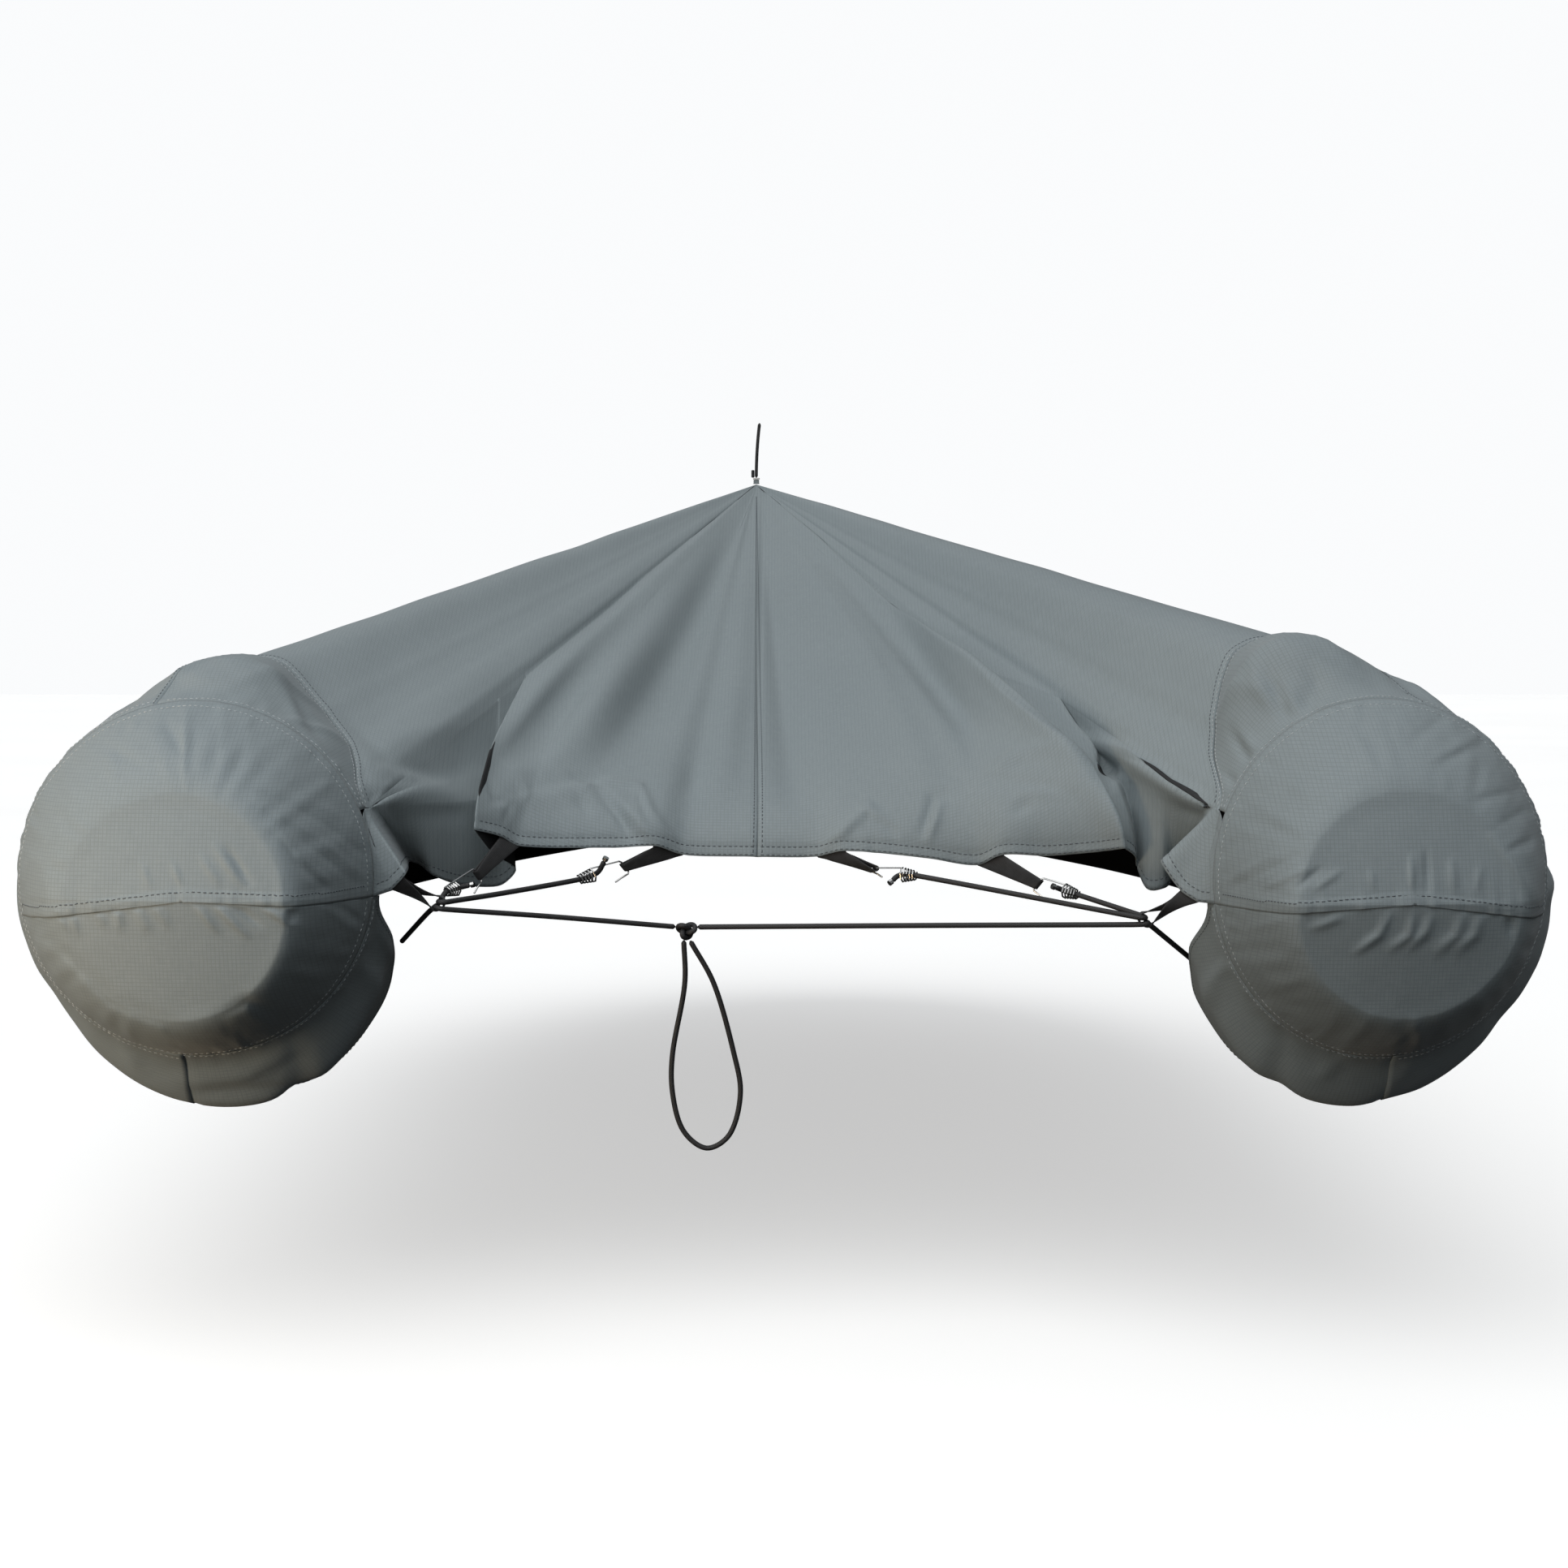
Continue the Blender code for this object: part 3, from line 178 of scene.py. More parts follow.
def wovenGroup():
    # Plain weave with a coarser checking grid over it, from a map in metres
    group, entry, result = newGroup(
        "wovenThreads",
        (("Map", "NodeSocketVector", None), ("Threads per Metre", "NodeSocketFloat", 2200.0),
         ("Checks per Metre", "NodeSocketFloat", 190.0)),
        (("Height", "NodeSocketFloat"), ("Thread Tone", "NodeSocketFloat"),
         ("Check Lines", "NodeSocketFloat")),
    )
    split = group.nodes.new("ShaderNodeSeparateXYZ")
    group.links.new(entry.outputs["Map"], split.inputs[0])
    waves = []
    lines = []
    for axis in (0, 1):
        turns = times(group, split.outputs[axis], entry.outputs["Threads per Metre"])
        waves.append(mathNode(group, "SINE", times(group, turns, math.pi)))
        checks = times(group, split.outputs[axis], entry.outputs["Checks per Metre"])
        near = mathNode(group, "PINGPONG", checks, 0.5)
        lines.append(mathNode(group, "LESS_THAN", near, checkLineShare))
    weave = times(group, waves[0], waves[1])
    grid = mathNode(group, "MAXIMUM", lines[0], lines[1])
    slubs = noiseNode(group, stretched(group, entry.outputs["Map"], (900.0, 60.0, 1.0)), 1.0, 2.0)
    across = noiseNode(group, stretched(group, entry.outputs["Map"], (60.0, 900.0, 1.0)), 1.0, 2.0)
    tone = mathNode(group, "ADD", times(group, slubs, 0.5), times(group, across, 0.5))
    raised = mathNode(group, "ADD", times(group, weave, 0.5), times(group, grid, 0.4))
    group.links.new(raised, result.inputs["Height"])
    group.links.new(tone, result.inputs["Thread Tone"])
    group.links.new(grid, result.inputs["Check Lines"])
    return group


def weatherGroup():
    # Slow changes of tone, dust that settles on what faces up, and marks from handling
    group, entry, result = newGroup(
        "weather",
        (("Patch Size", "NodeSocketFloat", 2.2), ("Speck Size", "NodeSocketFloat", 60.0)),
        (("Patches", "NodeSocketFloat"), ("Dust", "NodeSocketFloat"), ("Specks", "NodeSocketFloat"),
         ("Crumple", "NodeSocketFloat")),
    )
    place = group.nodes.new("ShaderNodeTexCoord").outputs["Object"]
    patches = noiseNode(group, place, entry.outputs["Patch Size"], 4.0, 0.55)
    specks = noiseNode(group, place, entry.outputs["Speck Size"], 6.0, 0.7)
    facing = group.nodes.new("ShaderNodeSeparateXYZ")
    group.links.new(group.nodes.new("ShaderNodeNewGeometry").outputs["Normal"], facing.inputs[0])
    upward = mathNode(group, "MAXIMUM", facing.outputs[2], 0.0)
    dust = times(group, mathNode(group, "POWER", upward, 2.0), patches)
    group.links.new(patches, result.inputs["Patches"])
    group.links.new(dust, result.inputs["Dust"])
    group.links.new(spanOf(group, specks, 0.55, 0.75), result.inputs["Specks"])
    group.links.new(noiseNode(group, place, 22.0, 3.0, 0.45), result.inputs["Crumple"])
    return group


def braidGroup():
    # Two sets of strands that wind both ways round a cord. The map runs round the cord and along it
    group, entry, result = newGroup(
        "braid",
        (("Map", "NodeSocketVector", None), ("Strands", "NodeSocketFloat", 8.0),
         ("Turns per Metre", "NodeSocketFloat", 160.0)),
        (("Height", "NodeSocketFloat"), ("Fibre", "NodeSocketFloat")),
    )
    split = group.nodes.new("ShaderNodeSeparateXYZ")
    group.links.new(entry.outputs["Map"], split.inputs[0])
    rounds = times(group, split.outputs[0], entry.outputs["Strands"])
    along = times(group, split.outputs[1], entry.outputs["Turns per Metre"])
    ways = []
    for operation in ("ADD", "SUBTRACT"):
        turn = times(group, mathNode(group, operation, rounds, along), math.pi)
        ways.append(mathNode(group, "ABSOLUTE", mathNode(group, "SINE", turn)))
    group.links.new(mathNode(group, "MAXIMUM", ways[0], ways[1]), result.inputs["Height"])
    fibre = noiseNode(group, stretched(group, entry.outputs["Map"], (90.0, 900.0, 1.0)), 1.0, 2.0)
    group.links.new(fibre, result.inputs["Fibre"])
    return group


woven = wovenGroup()
weather = weatherGroup()
braid = braidGroup()


def newMaterial(name):
    material = bpy.data.materials.new(name)
    material.use_nodes = True
    return material, material.node_tree, material.node_tree.nodes["Principled BSDF"]


def placeGroup(tree, group, **values):
    node = tree.nodes.new("ShaderNodeGroup")
    node.node_tree = group
    for label, value in values.items():
        node.inputs[label.replace("_", " ")].default_value = value
    return node


def bumpFrom(tree, shader, height, strength, distance):
    node = tree.nodes.new("ShaderNodeBump")
    node.inputs["Strength"].default_value = strength
    node.inputs["Distance"].default_value = distance
    tree.links.new(height, node.inputs["Height"])
    tree.links.new(node.outputs[0], shader.inputs["Normal"])
    return node


def clothMapNode(tree):
    node = tree.nodes.new("ShaderNodeUVMap")
    node.uv_map = "clothMap"
    return node.outputs[0]


def unevenRoughness(tree, shader, value, spread, least):
    rough = mathNode(tree, "ADD", times(tree, value, spread), least)
    tree.links.new(rough, shader.inputs["Roughness"])


def clothMaterial(name, look):
    material, tree, shader = newMaterial(name)
    threads = placeGroup(tree, woven, Threads_per_Metre=look["threads"], Checks_per_Metre=look["checks"])
    tree.links.new(clothMapNode(tree), threads.inputs["Map"])
    aged = placeGroup(tree, weather, Patch_Size=look["patchSize"])
    base = mixColours(tree, spanOf(tree, aged.outputs["Patches"], 0.35, 0.65), look["deep"], look["colour"])
    grain = times(tree, spanOf(tree, threads.outputs["Thread Tone"], 0.3, 0.7), look["grain"])
    tinted = mixColours(tree, grain, base, look["thread"])
    lines = times(tree, threads.outputs["Check Lines"], look["checkTone"])
    lined = mixColours(tree, lines, tinted, look["check"])
    dusted = mixColours(tree, times(tree, aged.outputs["Dust"], look["dust"]), lined, look["dustColour"])
    tree.links.new(dusted, shader.inputs["Base Color"])
    unevenRoughness(tree, shader, aged.outputs["Patches"], 0.10, look["roughness"])
    shader.inputs["Sheen Weight"].default_value = look["sheen"]
    shader.inputs["Sheen Roughness"].default_value = 0.45
    shader.inputs["Specular IOR Level"].default_value = look["gloss"]
    crumple = tree.nodes.new("ShaderNodeBump")
    crumple.inputs["Strength"].default_value = look["crumple"]
    crumple.inputs["Distance"].default_value = 0.004
    tree.links.new(aged.outputs["Crumple"], crumple.inputs["Height"])
    weave = bumpFrom(tree, shader, threads.outputs["Height"], look["bump"], 0.0002)
    tree.links.new(crumple.outputs[0], weave.inputs["Normal"])
    return material


coverLook = {
    "colour": (0.222, 0.262, 0.275), "deep": (0.200, 0.238, 0.250), "thread": (0.290, 0.335, 0.350),
    "dustColour": (0.36, 0.36, 0.34), "check": (0.165, 0.190, 0.198),
    "threads": 1900.0, "checks": 240.0, "patchSize": 2.4, "grain": 0.60, "checkTone": 0.42, "dust": 0.10,
    "roughness": 0.56, "sheen": 0.12, "gloss": 0.35, "bump": 0.35, "crumple": 0.35,
}
# Painted shade: the cloth's inner side is coloured near black to stand for the shade inside the folds and
# curls
paintedShadeInsideLook = {
    "colour": (0.020, 0.021, 0.022), "deep": (0.014, 0.015, 0.016), "thread": (0.035, 0.036, 0.037),
    "dustColour": (0.10, 0.10, 0.10), "check": (0.012, 0.012, 0.013),
    "threads": 1900.0, "checks": 240.0, "patchSize": 3.0, "grain": 0.4, "checkTone": 0.4, "dust": 0.05,
    "roughness": 0.6, "sheen": 0.0, "gloss": 0.3, "bump": 0.3, "crumple": 0.3,
}
coverCloth = clothMaterial("coverCloth", coverLook)
coverInsidePaintedShade = clothMaterial("coverInsidePaintedShade", paintedShadeInsideLook)

threadLook = {"dark": (0.075, 0.088, 0.098), "pale": (0.34, 0.37, 0.38), "roughness": 0.55}


def threadMaterial(name, colour):
    material, tree, shader = newMaterial(name)
    place = tree.nodes.new("ShaderNodeTexCoord").outputs["Object"]
    fuzz = noiseNode(tree, place, 900.0, 2.0)
    lighter = tuple(min(c * 1.6, 1.0) for c in colour)
    base = mixColours(tree, spanOf(tree, fuzz, 0.3, 0.7), colour, lighter)
    tree.links.new(base, shader.inputs["Base Color"])
    shader.inputs["Roughness"].default_value = threadLook["roughness"]
    bumpFrom(tree, shader, fuzz, 0.4, 0.0002)
    return material


darkThread = threadMaterial("darkThread", threadLook["dark"])
paleThread = threadMaterial("paleThread", threadLook["pale"])

webbingLook = {"colour": (0.006, 0.006, 0.0065), "worn": (0.024, 0.024, 0.025), "roughness": 0.62}


def webbingMaterial():
    material, tree, shader = newMaterial("blackWebbing")
    threads = placeGroup(tree, woven, Threads_per_Metre=1500.0, Checks_per_Metre=0.0)
    tree.links.new(clothMapNode(tree), threads.inputs["Map"])
    aged = placeGroup(tree, weather, Patch_Size=90.0, Speck_Size=700.0)
    worn = times(tree, spanOf(tree, aged.outputs["Patches"], 0.45, 0.75), 0.5)
    base = mixColours(tree, worn, webbingLook["colour"], webbingLook["worn"])
    flecks = times(tree, spanOf(tree, threads.outputs["Thread Tone"], 0.45, 0.75), 0.5)
    tree.links.new(mixColours(tree, flecks, base, webbingLook["worn"]), shader.inputs["Base Color"])
    unevenRoughness(tree, shader, threads.outputs["Thread Tone"], 0.2, webbingLook["roughness"] - 0.1)
    shader.inputs["Sheen Weight"].default_value = 0.15
    bumpFrom(tree, shader, threads.outputs["Height"], 0.5, 0.0003)
    return material


cordLook = {"colour": (0.010, 0.010, 0.011), "fleck": (0.050, 0.050, 0.052), "roughness": 0.55}


def cordMaterial():
    material, tree, shader = newMaterial("blackCord")
    strands = placeGroup(tree, braid, Strands=8.0, Turns_per_Metre=230.0)
    tree.links.new(clothMapNode(tree), strands.inputs["Map"])
    aged = placeGroup(tree, weather, Patch_Size=60.0, Speck_Size=900.0)
    tone = times(tree, strands.outputs["Height"], strands.outputs["Fibre"])
    base = mixColours(tree, spanOf(tree, tone, 0.2, 0.9), cordLook["colour"], cordLook["fleck"])
    specks = times(tree, aged.outputs["Specks"], 0.2)
    tree.links.new(mixColours(tree, specks, base, cordLook["fleck"]), shader.inputs["Base Color"])
    unevenRoughness(tree, shader, strands.outputs["Fibre"], 0.2, cordLook["roughness"] - 0.1)
    bumpFrom(tree, shader, strands.outputs["Height"], 0.7, 0.0006)
    return material


wireLook = {"colour": (0.58, 0.58, 0.57), "dull": (0.36, 0.35, 0.33), "roughness": 0.20}


def wireMaterial():
    material, tree, shader = newMaterial("brightWire")
    aged = placeGroup(tree, weather, Patch_Size=120.0, Speck_Size=1500.0)
    dull = times(tree, aged.outputs["Specks"], 0.7)
    tree.links.new(mixColours(tree, dull, wireLook["colour"], wireLook["dull"]), shader.inputs["Base Color"])
    unevenRoughness(tree, shader, aged.outputs["Patches"], 0.25, wireLook["roughness"] - 0.08)
    shader.inputs["Metallic"].default_value = 1.0
    bumpFrom(tree, shader, aged.outputs["Specks"], 0.15, 0.0002)
    return material


ringLook = {"colour": (0.70, 0.69, 0.67), "grime": (0.42, 0.40, 0.37), "roughness": 0.4}


def ringMaterial():
    material, tree, shader = newMaterial("paleRing")
    aged = placeGroup(tree, weather, Patch_Size=200.0, Speck_Size=1200.0)
    grime = times(tree, spanOf(tree, aged.outputs["Patches"], 0.4, 0.7), 0.5)
    base = mixColours(tree, grime, ringLook["colour"], ringLook["grime"])
    tree.links.new(base, shader.inputs["Base Color"])
    unevenRoughness(tree, shader, aged.outputs["Patches"], 0.3, ringLook["roughness"] - 0.15)
    bumpFrom(tree, shader, aged.outputs["Specks"], 0.2, 0.0002)
    return material


blackWebbing = webbingMaterial()
blackCord = cordMaterial()
brightWire = wireMaterial()
paleRing = ringMaterial()
print("materials made")


def curveThrough(knots, values, at):
    # A smooth curve through the rows of a table, with uneven spacing
    knots = np.asarray(knots, float)
    values = np.asarray(values, float)
    at = np.atleast_1d(np.asarray(at, float))
    i = np.clip(np.searchsorted(knots, at, side="right") - 1, 0, len(knots) - 2)
    before = np.maximum(np.arange(len(knots)) - 1, 0)
    after = np.minimum(np.arange(len(knots)) + 1, len(knots) - 1)
    wide = (1,) * (values.ndim - 1)
    slopes = (values[after] - values[before]) / (knots[after] - knots[before]).reshape(-1, *wide)
    gap = (knots[i + 1] - knots[i]).reshape(-1, *wide)
    t = (at - knots[i]).reshape(-1, *wide) / gap
    t2, t3 = t * t, t * t * t
    return (
        (2 * t3 - 3 * t2 + 1) * values[i] + (t3 - 2 * t2 + t) * gap * slopes[i]
        + (3 * t2 - 2 * t3) * values[i + 1] + (t3 - t2) * gap * slopes[i + 1]
    )


def evenPoints(line, spacing):
    # The same line with its points evenly spaced, and how far along it each point is
    steps = np.linalg.norm(np.diff(line, axis=0), axis=1)
    lengths = np.concatenate([[0.0], np.cumsum(steps)])
    count = max(int(round(lengths[-1] / spacing)), 3)
    at = np.linspace(0.0, lengths[-1], count + 1)
    return np.stack([np.interp(at, lengths, line[:, k]) for k in range(3)], axis=1), at


def softNoise(u, v, seed, wrap=0):
    # Smooth random field from -1 to 1, one wave to about two units. It repeats in u where asked
    field = np.random.default_rng(seed).uniform(-1.0, 1.0, (wrap or 97, 101))
    u, v = np.asarray(u, float), np.asarray(v, float)
    iu, iv = np.floor(u).astype(int), np.floor(v).astype(int)
    fu, fv = smooth(u - iu), smooth(v - iv)
    a, b = iu % field.shape[0], (iu + 1) % field.shape[0]
    c, d = iv % field.shape[1], (iv + 1) % field.shape[1]
    low = field[a, c] * (1 - fu) + field[b, c] * fu
    high = field[a, d] * (1 - fu) + field[b, d] * fu
    return low * (1 - fv) + high * fv


def gridFaces(grid):
    # The four corners of each face of a grid, of vertex numbers or of map points
    corners = [grid[:-1, :-1], grid[:-1, 1:], grid[1:, 1:], grid[1:, :-1]]
    return np.stack(corners, axis=2).reshape(-1, 4, *grid.shape[2:])


def newMesh(name, points, faces, maps, materials):
    # Faces are rows of four vertex numbers, maps are rows of four map points to match. Corners of a
    # face that share a vertex make it a triangle
    kept, keptMaps = [], []
    for ring, ringMap in zip(faces.tolist(), maps.tolist()):
        ringKept, mapKept = [], []
        for corner, mapPoint in zip(ring, ringMap):
            if corner not in ringKept:
                ringKept.append(corner)
                mapKept.append(mapPoint)
        if len(ringKept) > 2:
            kept.append(ringKept)
            keptMaps.extend(mapKept)
    mesh = bpy.data.meshes.new(name)
    mesh.from_pydata(points.tolist(), [], kept)
    layer = mesh.uv_layers.new(name="clothMap")
    layer.data.foreach_set("uv", np.array(keptMaps, float).ravel())
    for material in materials:
        mesh.materials.append(material)
    mesh.shade_smooth()
    mesh.update()
    return mesh


def sweptMesh(name, rings, mapU, lengths, material, closed=False):
    # A mesh from rings of points, its ends closed unless the last ring meets the first
    count, around = rings.shape[:2]
    ids = np.arange(count * around).reshape(count, around)
    ids = np.concatenate([ids, ids[:, :1]], axis=1)
    if closed:
        ids = np.concatenate([ids, ids[:1]], axis=0)
    points, faces = rings.reshape(-1, 3), gridFaces(ids)
    maps = gridFaces(np.stack(np.broadcast_arrays(mapU[None, :], lengths[:, None]), axis=-1))
    if not closed:
        caps = []
        for ring, flip in ((0, True), (count - 1, False)):
            middle = len(points)
            points = np.vstack([points, rings[ring].mean(axis=0)])
            for one, two in zip(ids[ring, :-1], ids[ring, 1:]):
                caps.append((two, one, middle, middle) if flip else (one, two, middle, middle))
        faces = np.vstack([faces, np.array(caps)])
        maps = np.vstack([maps, np.zeros((len(caps), 4, 2))])
    return newMesh(name, inFrame(points), faces, maps, [material])


def addPiece(name, mesh, node=None):
    piece = bpy.data.objects.new(name, mesh)
    bpy.context.collection.objects.link(piece)
    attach(piece, "root")
    if node:
        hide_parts(node)
    return piece


def vertexNormals(points, faces):
    a, b, c, d = (points[faces[:, k]] for k in range(4))
    across = np.cross(c - a, d - b)
    normals = np.zeros_like(points)
    for k in range(4):
        np.add.at(normals, faces[:, k], across)
    return unit(normals)


# The cords come first of the pieces. Their places are given points of each route
cordSizes = {"radius": 0.0029, "peakRadius": 0.0023, "spacing": 0.0025, "around": 12}
drawcordLeft = (
    (-0.4230, 0.2545, -0.0815), (-0.3850, 0.1720, -0.0440), (-0.3720, 0.1430, -0.0330),
    (-0.3678, 0.1325, -0.0304), (-0.3677, 0.1120, -0.0303), (-0.3638, 0.1070, -0.0311),
    (-0.3560, 0.1080, -0.0325), (-0.2504, 0.1560, -0.0445), (-0.1182, 0.2045, -0.0602),
)
drawcordRight = (
    (-0.0940, 0.2050, -0.0605), (0.1500, 0.1700, -0.0555), (0.3600, 0.1370, -0.0515),
    (0.3790, 0.1322, -0.0507), (0.3850, 0.1325, -0.0503), (0.3872, 0.1390, -0.0498),
    (0.3872, 0.1550, -0.0500), (0.3930, 0.1680, -0.0545), (0.4520, 0.2545, -0.1020),
)
drawcordLoop = (
    (-0.1090, 0.2050, -0.0751), (-0.1085, 0.2120, -0.1248), (-0.1221, 0.2220, -0.2012),
    (-0.1223, 0.2260, -0.2461), (-0.1108, 0.2280, -0.2872), (-0.0851, 0.2280, -0.3067),
    (-0.0594, 0.2280, -0.2908), (-0.0479, 0.2260, -0.2461), (-0.0549, 0.2220, -0.2012),
    (-0.0759, 0.2120, -0.1248), (-0.1020, 0.2050, -0.0756),
)
elasticLeft = (
    (-0.1961, 0.2230, 0.0105), (-0.2025, 0.2275, -0.0010), (-0.2085, 0.2290, -0.0053),
    (-0.2236, 0.2180, -0.0097), (-0.3000, 0.1580, -0.0195), (-0.3450, 0.1170, -0.0238),
    (-0.3555, 0.1074, -0.0248), (-0.3622, 0.1076, -0.0250), (-0.3643, 0.1140, -0.0250),
    (-0.3643, 0.1305, -0.0250), (-0.3632, 0.1372, -0.0222), (-0.3594, 0.1430, -0.0168),
    (-0.3508, 0.1580, -0.0146), (-0.3440, 0.1630, -0.0130), (-0.3360, 0.1600, -0.0110),
)
elasticRight = (
    (0.2954, 0.2090, -0.0175), (0.3005, 0.2130, -0.0195), (0.3061, 0.2125, -0.0217),
    (0.3188, 0.2025, -0.0250), (0.3500, 0.1818, -0.0342), (0.3770, 0.1640, -0.0422),
    (0.3825, 0.1590, -0.0438), (0.3845, 0.1520, -0.0442), (0.3843, 0.1380, -0.0442),
    (0.3810, 0.1316, -0.0437), (0.3700, 0.1335, -0.0422), (0.1446, 0.2300, -0.0063),
    (0.1298, 0.2365, -0.0060), (0.1240, 0.2360, -0.0078), (0.1185, 0.2310, -0.0125),
)


def routePoints(route, spacing):
    route = np.array(route)
    gaps = np.linalg.norm(np.diff(route, axis=0), axis=1) ** 0.5
    knots = np.concatenate([[0.0], np.cumsum(gaps)])
    fine = curveThrough(knots, route, np.linspace(0.0, knots[-1], 60 * len(route)))
    return evenPoints(fine, spacing)


def tubeMesh(name, line, radius, around, material, closed=False, rounded=0.0):
    # A round tube along a line, with its map round it (0 to 1) and along it in metres
    count = len(line)
    ways = unit(np.roll(line, -1, 0) - np.roll(line, 1, 0)) if closed else unit(np.gradient(line, axis=0))
    side = unit(np.cross(ways[0], (0.3, 0.5, 0.8)))
    sides = []
    for way in ways:
        side = unit(side - way * float(side @ way))
        sides.append(side)
    sides = np.array(sides)
    if closed:
        # share the twist that is left at the end among the rings
        last = unit(sides[0] - ways[-1] * float(sides[0] @ ways[-1]))
        twist = math.atan2(float(np.cross(sides[-1], last) @ ways[-1]), float(sides[-1] @ last))
    else:
        twist = 0.0
    lengths = np.concatenate([[0.0], np.cumsum(np.linalg.norm(np.diff(line, axis=0), axis=1))])
    turns = np.linspace(0.0, 2 * math.pi, around, endpoint=False)
    lean = (np.linspace(0.0, 1.0, count) * twist)[:, None]
    level = np.cross(ways, sides)
    reach = np.full(count, radius)
    if rounded and not closed:
        inset = np.minimum(lengths, lengths[-1] - lengths)
        reach = radius * np.sqrt(1.0 - np.clip(1.0 - inset / rounded, 0.0, 0.94) ** 2)
    cosine = np.cos(turns[None, :] + lean)[:, :, None]
    sine = np.sin(turns[None, :] + lean)[:, :, None]
    rings = line[:, None] + (sides[:, None] * cosine + level[:, None] * sine) * reach[:, None, None]
    if closed:
        lengths = np.append(lengths, lengths[-1] + float(np.linalg.norm(line[0] - line[-1])))
    return sweptMesh(name, rings, np.linspace(0.0, 1.0, around + 1), lengths, material, closed)


def makeCord(name, node, route):
    line, at = routePoints(route, cordSizes["spacing"])
    mesh = tubeMesh(name, line, cordSizes["radius"], cordSizes["around"], blackCord, rounded=0.0012)
    piece = addPiece(name, mesh, node)
    return piece


knotPlan = {"place": (-0.1060, 0.2050, -0.0640), "wide": 0.0090, "deep": 0.0052, "high": 0.0078}


def makeKnot():
    # One cord crossing itself three times, drawn up tight
    t = np.linspace(0.0, 2 * math.pi, 96, endpoint=False)
    line = np.stack([
        knotPlan["wide"] * (np.sin(t) + 2 * np.sin(2 * t)) / 3 * 1.12,
        -knotPlan["deep"] * np.sin(3 * t),
        knotPlan["high"] * (np.cos(t) - 2 * np.cos(2 * t)) / 3 * 1.05,
    ], axis=1) + np.array(knotPlan["place"])
    mesh = tubeMesh("drawcordKnot", line, cordSizes["radius"], cordSizes["around"], blackCord, closed=True)
    return addPiece("drawcordKnot", mesh, "drawcord_knot")


peakCordPlan = {"foot": 0.01005, "high": 0.0780, "lean": 0.0047, "splice": 0.0110}


def makePeakCord():
    foot = peak + np.array((0.0, 0.0, peakCordPlan["foot"]))
    t = np.linspace(0.0, 1.0, 33)
    line = foot + np.stack([peakCordPlan["lean"] * t * t, 0 * t, peakCordPlan["high"] * t], axis=1)
    radius = cordSizes["peakRadius"]
    mesh = tubeMesh("peakCord", line, radius, cordSizes["around"], blackCord, rounded=0.0010)
    cord = addPiece("peakCord", mesh, "peak_cord")
    beside = foot - np.array((2 * radius + 0.0003, 0.0, 0.0))
    short = beside + np.stack([0 * t, 0 * t, peakCordPlan["splice"] * t], axis=1)
    mesh = tubeMesh("peakCordEnd", short, radius, cordSizes["around"], blackCord, rounded=0.0010)
    end = addPiece("peakCordEnd", mesh, "peak_cord_end")


knot = makeKnot()
makeCord("drawcordLeft", "drawcord_left", drawcordLeft)
makeCord("drawcordRight", "drawcord_right", drawcordRight)
makeCord("drawcordLoop", "drawcord_loop", drawcordLoop)
makeCord("elasticLeft", "elastic_left", elasticLeft)
makeCord("elasticRight", "elastic_right", elasticRight)
makePeakCord()
print("cords made")


# The cloth round the boat's tubes
tubePlan = {
    "straightEnd": 1.70, "bowReach": 1.20, "bowPath": 1.47, "bowRise": 0.07, "seamForward": 0.115,
    "notchForward": 0.130, "fullForward": 0.200, "crestAngle": -2.0, "crestStart": -12.0,
    "underAngle": 185.0, "discForward": -0.004, "discBulge": 0.010, "bowStation": 3.17,
    "touchAngle": -24.0, "touchAngleBow": -8.0, "mapReach": 0.2,
}
# swells: angle from the tube's top, width in degrees, height
leftSock = {
    "name": "left", "side": -1, "tubeX": 0.620, "girth": 0.200, "seamWide": 0.190, "seamHigh": 0.190,
    "swells": ((9.0, 18.0, 0.035), (162.0, 38.0, 0.053), (-105.0, 25.0, 0.012),
               (-157.0, 30.0, 0.026), (-14.0, 9.0, 0.008), (-55.0, 30.0, -0.007)),
    "discX": 0.615, "discUp": -0.021, "discR": 0.113, "hubX": 0.603, "hubUp": -0.012,
    "levelOut": -102.0, "levelIn": 96.0, "notchAngle": 67.6, "ridge": 0.022, "seed": 11,
}
rightSock = {
    "name": "right", "side": 1, "tubeX": 0.628, "girth": 0.195, "seamWide": 0.178, "seamHigh": 0.192,
    "swells": ((23.0, 21.0, 0.076), (165.0, 38.0, 0.056), (-110.0, 25.0, 0.016),
               (-155.0, 30.0, 0.021), (0.0, 12.0, 0.011), (-19.0, 8.0, 0.010), (-65.0, 32.0, -0.009)),
    "discX": 0.628, "discUp": -0.018, "discR": 0.113, "hubX": 0.628, "hubUp": -0.014,
    "levelOut": -102.0, "levelIn": 99.0, "notchAngle": 67.0, "ridge": 0.034, "seed": 23,
}

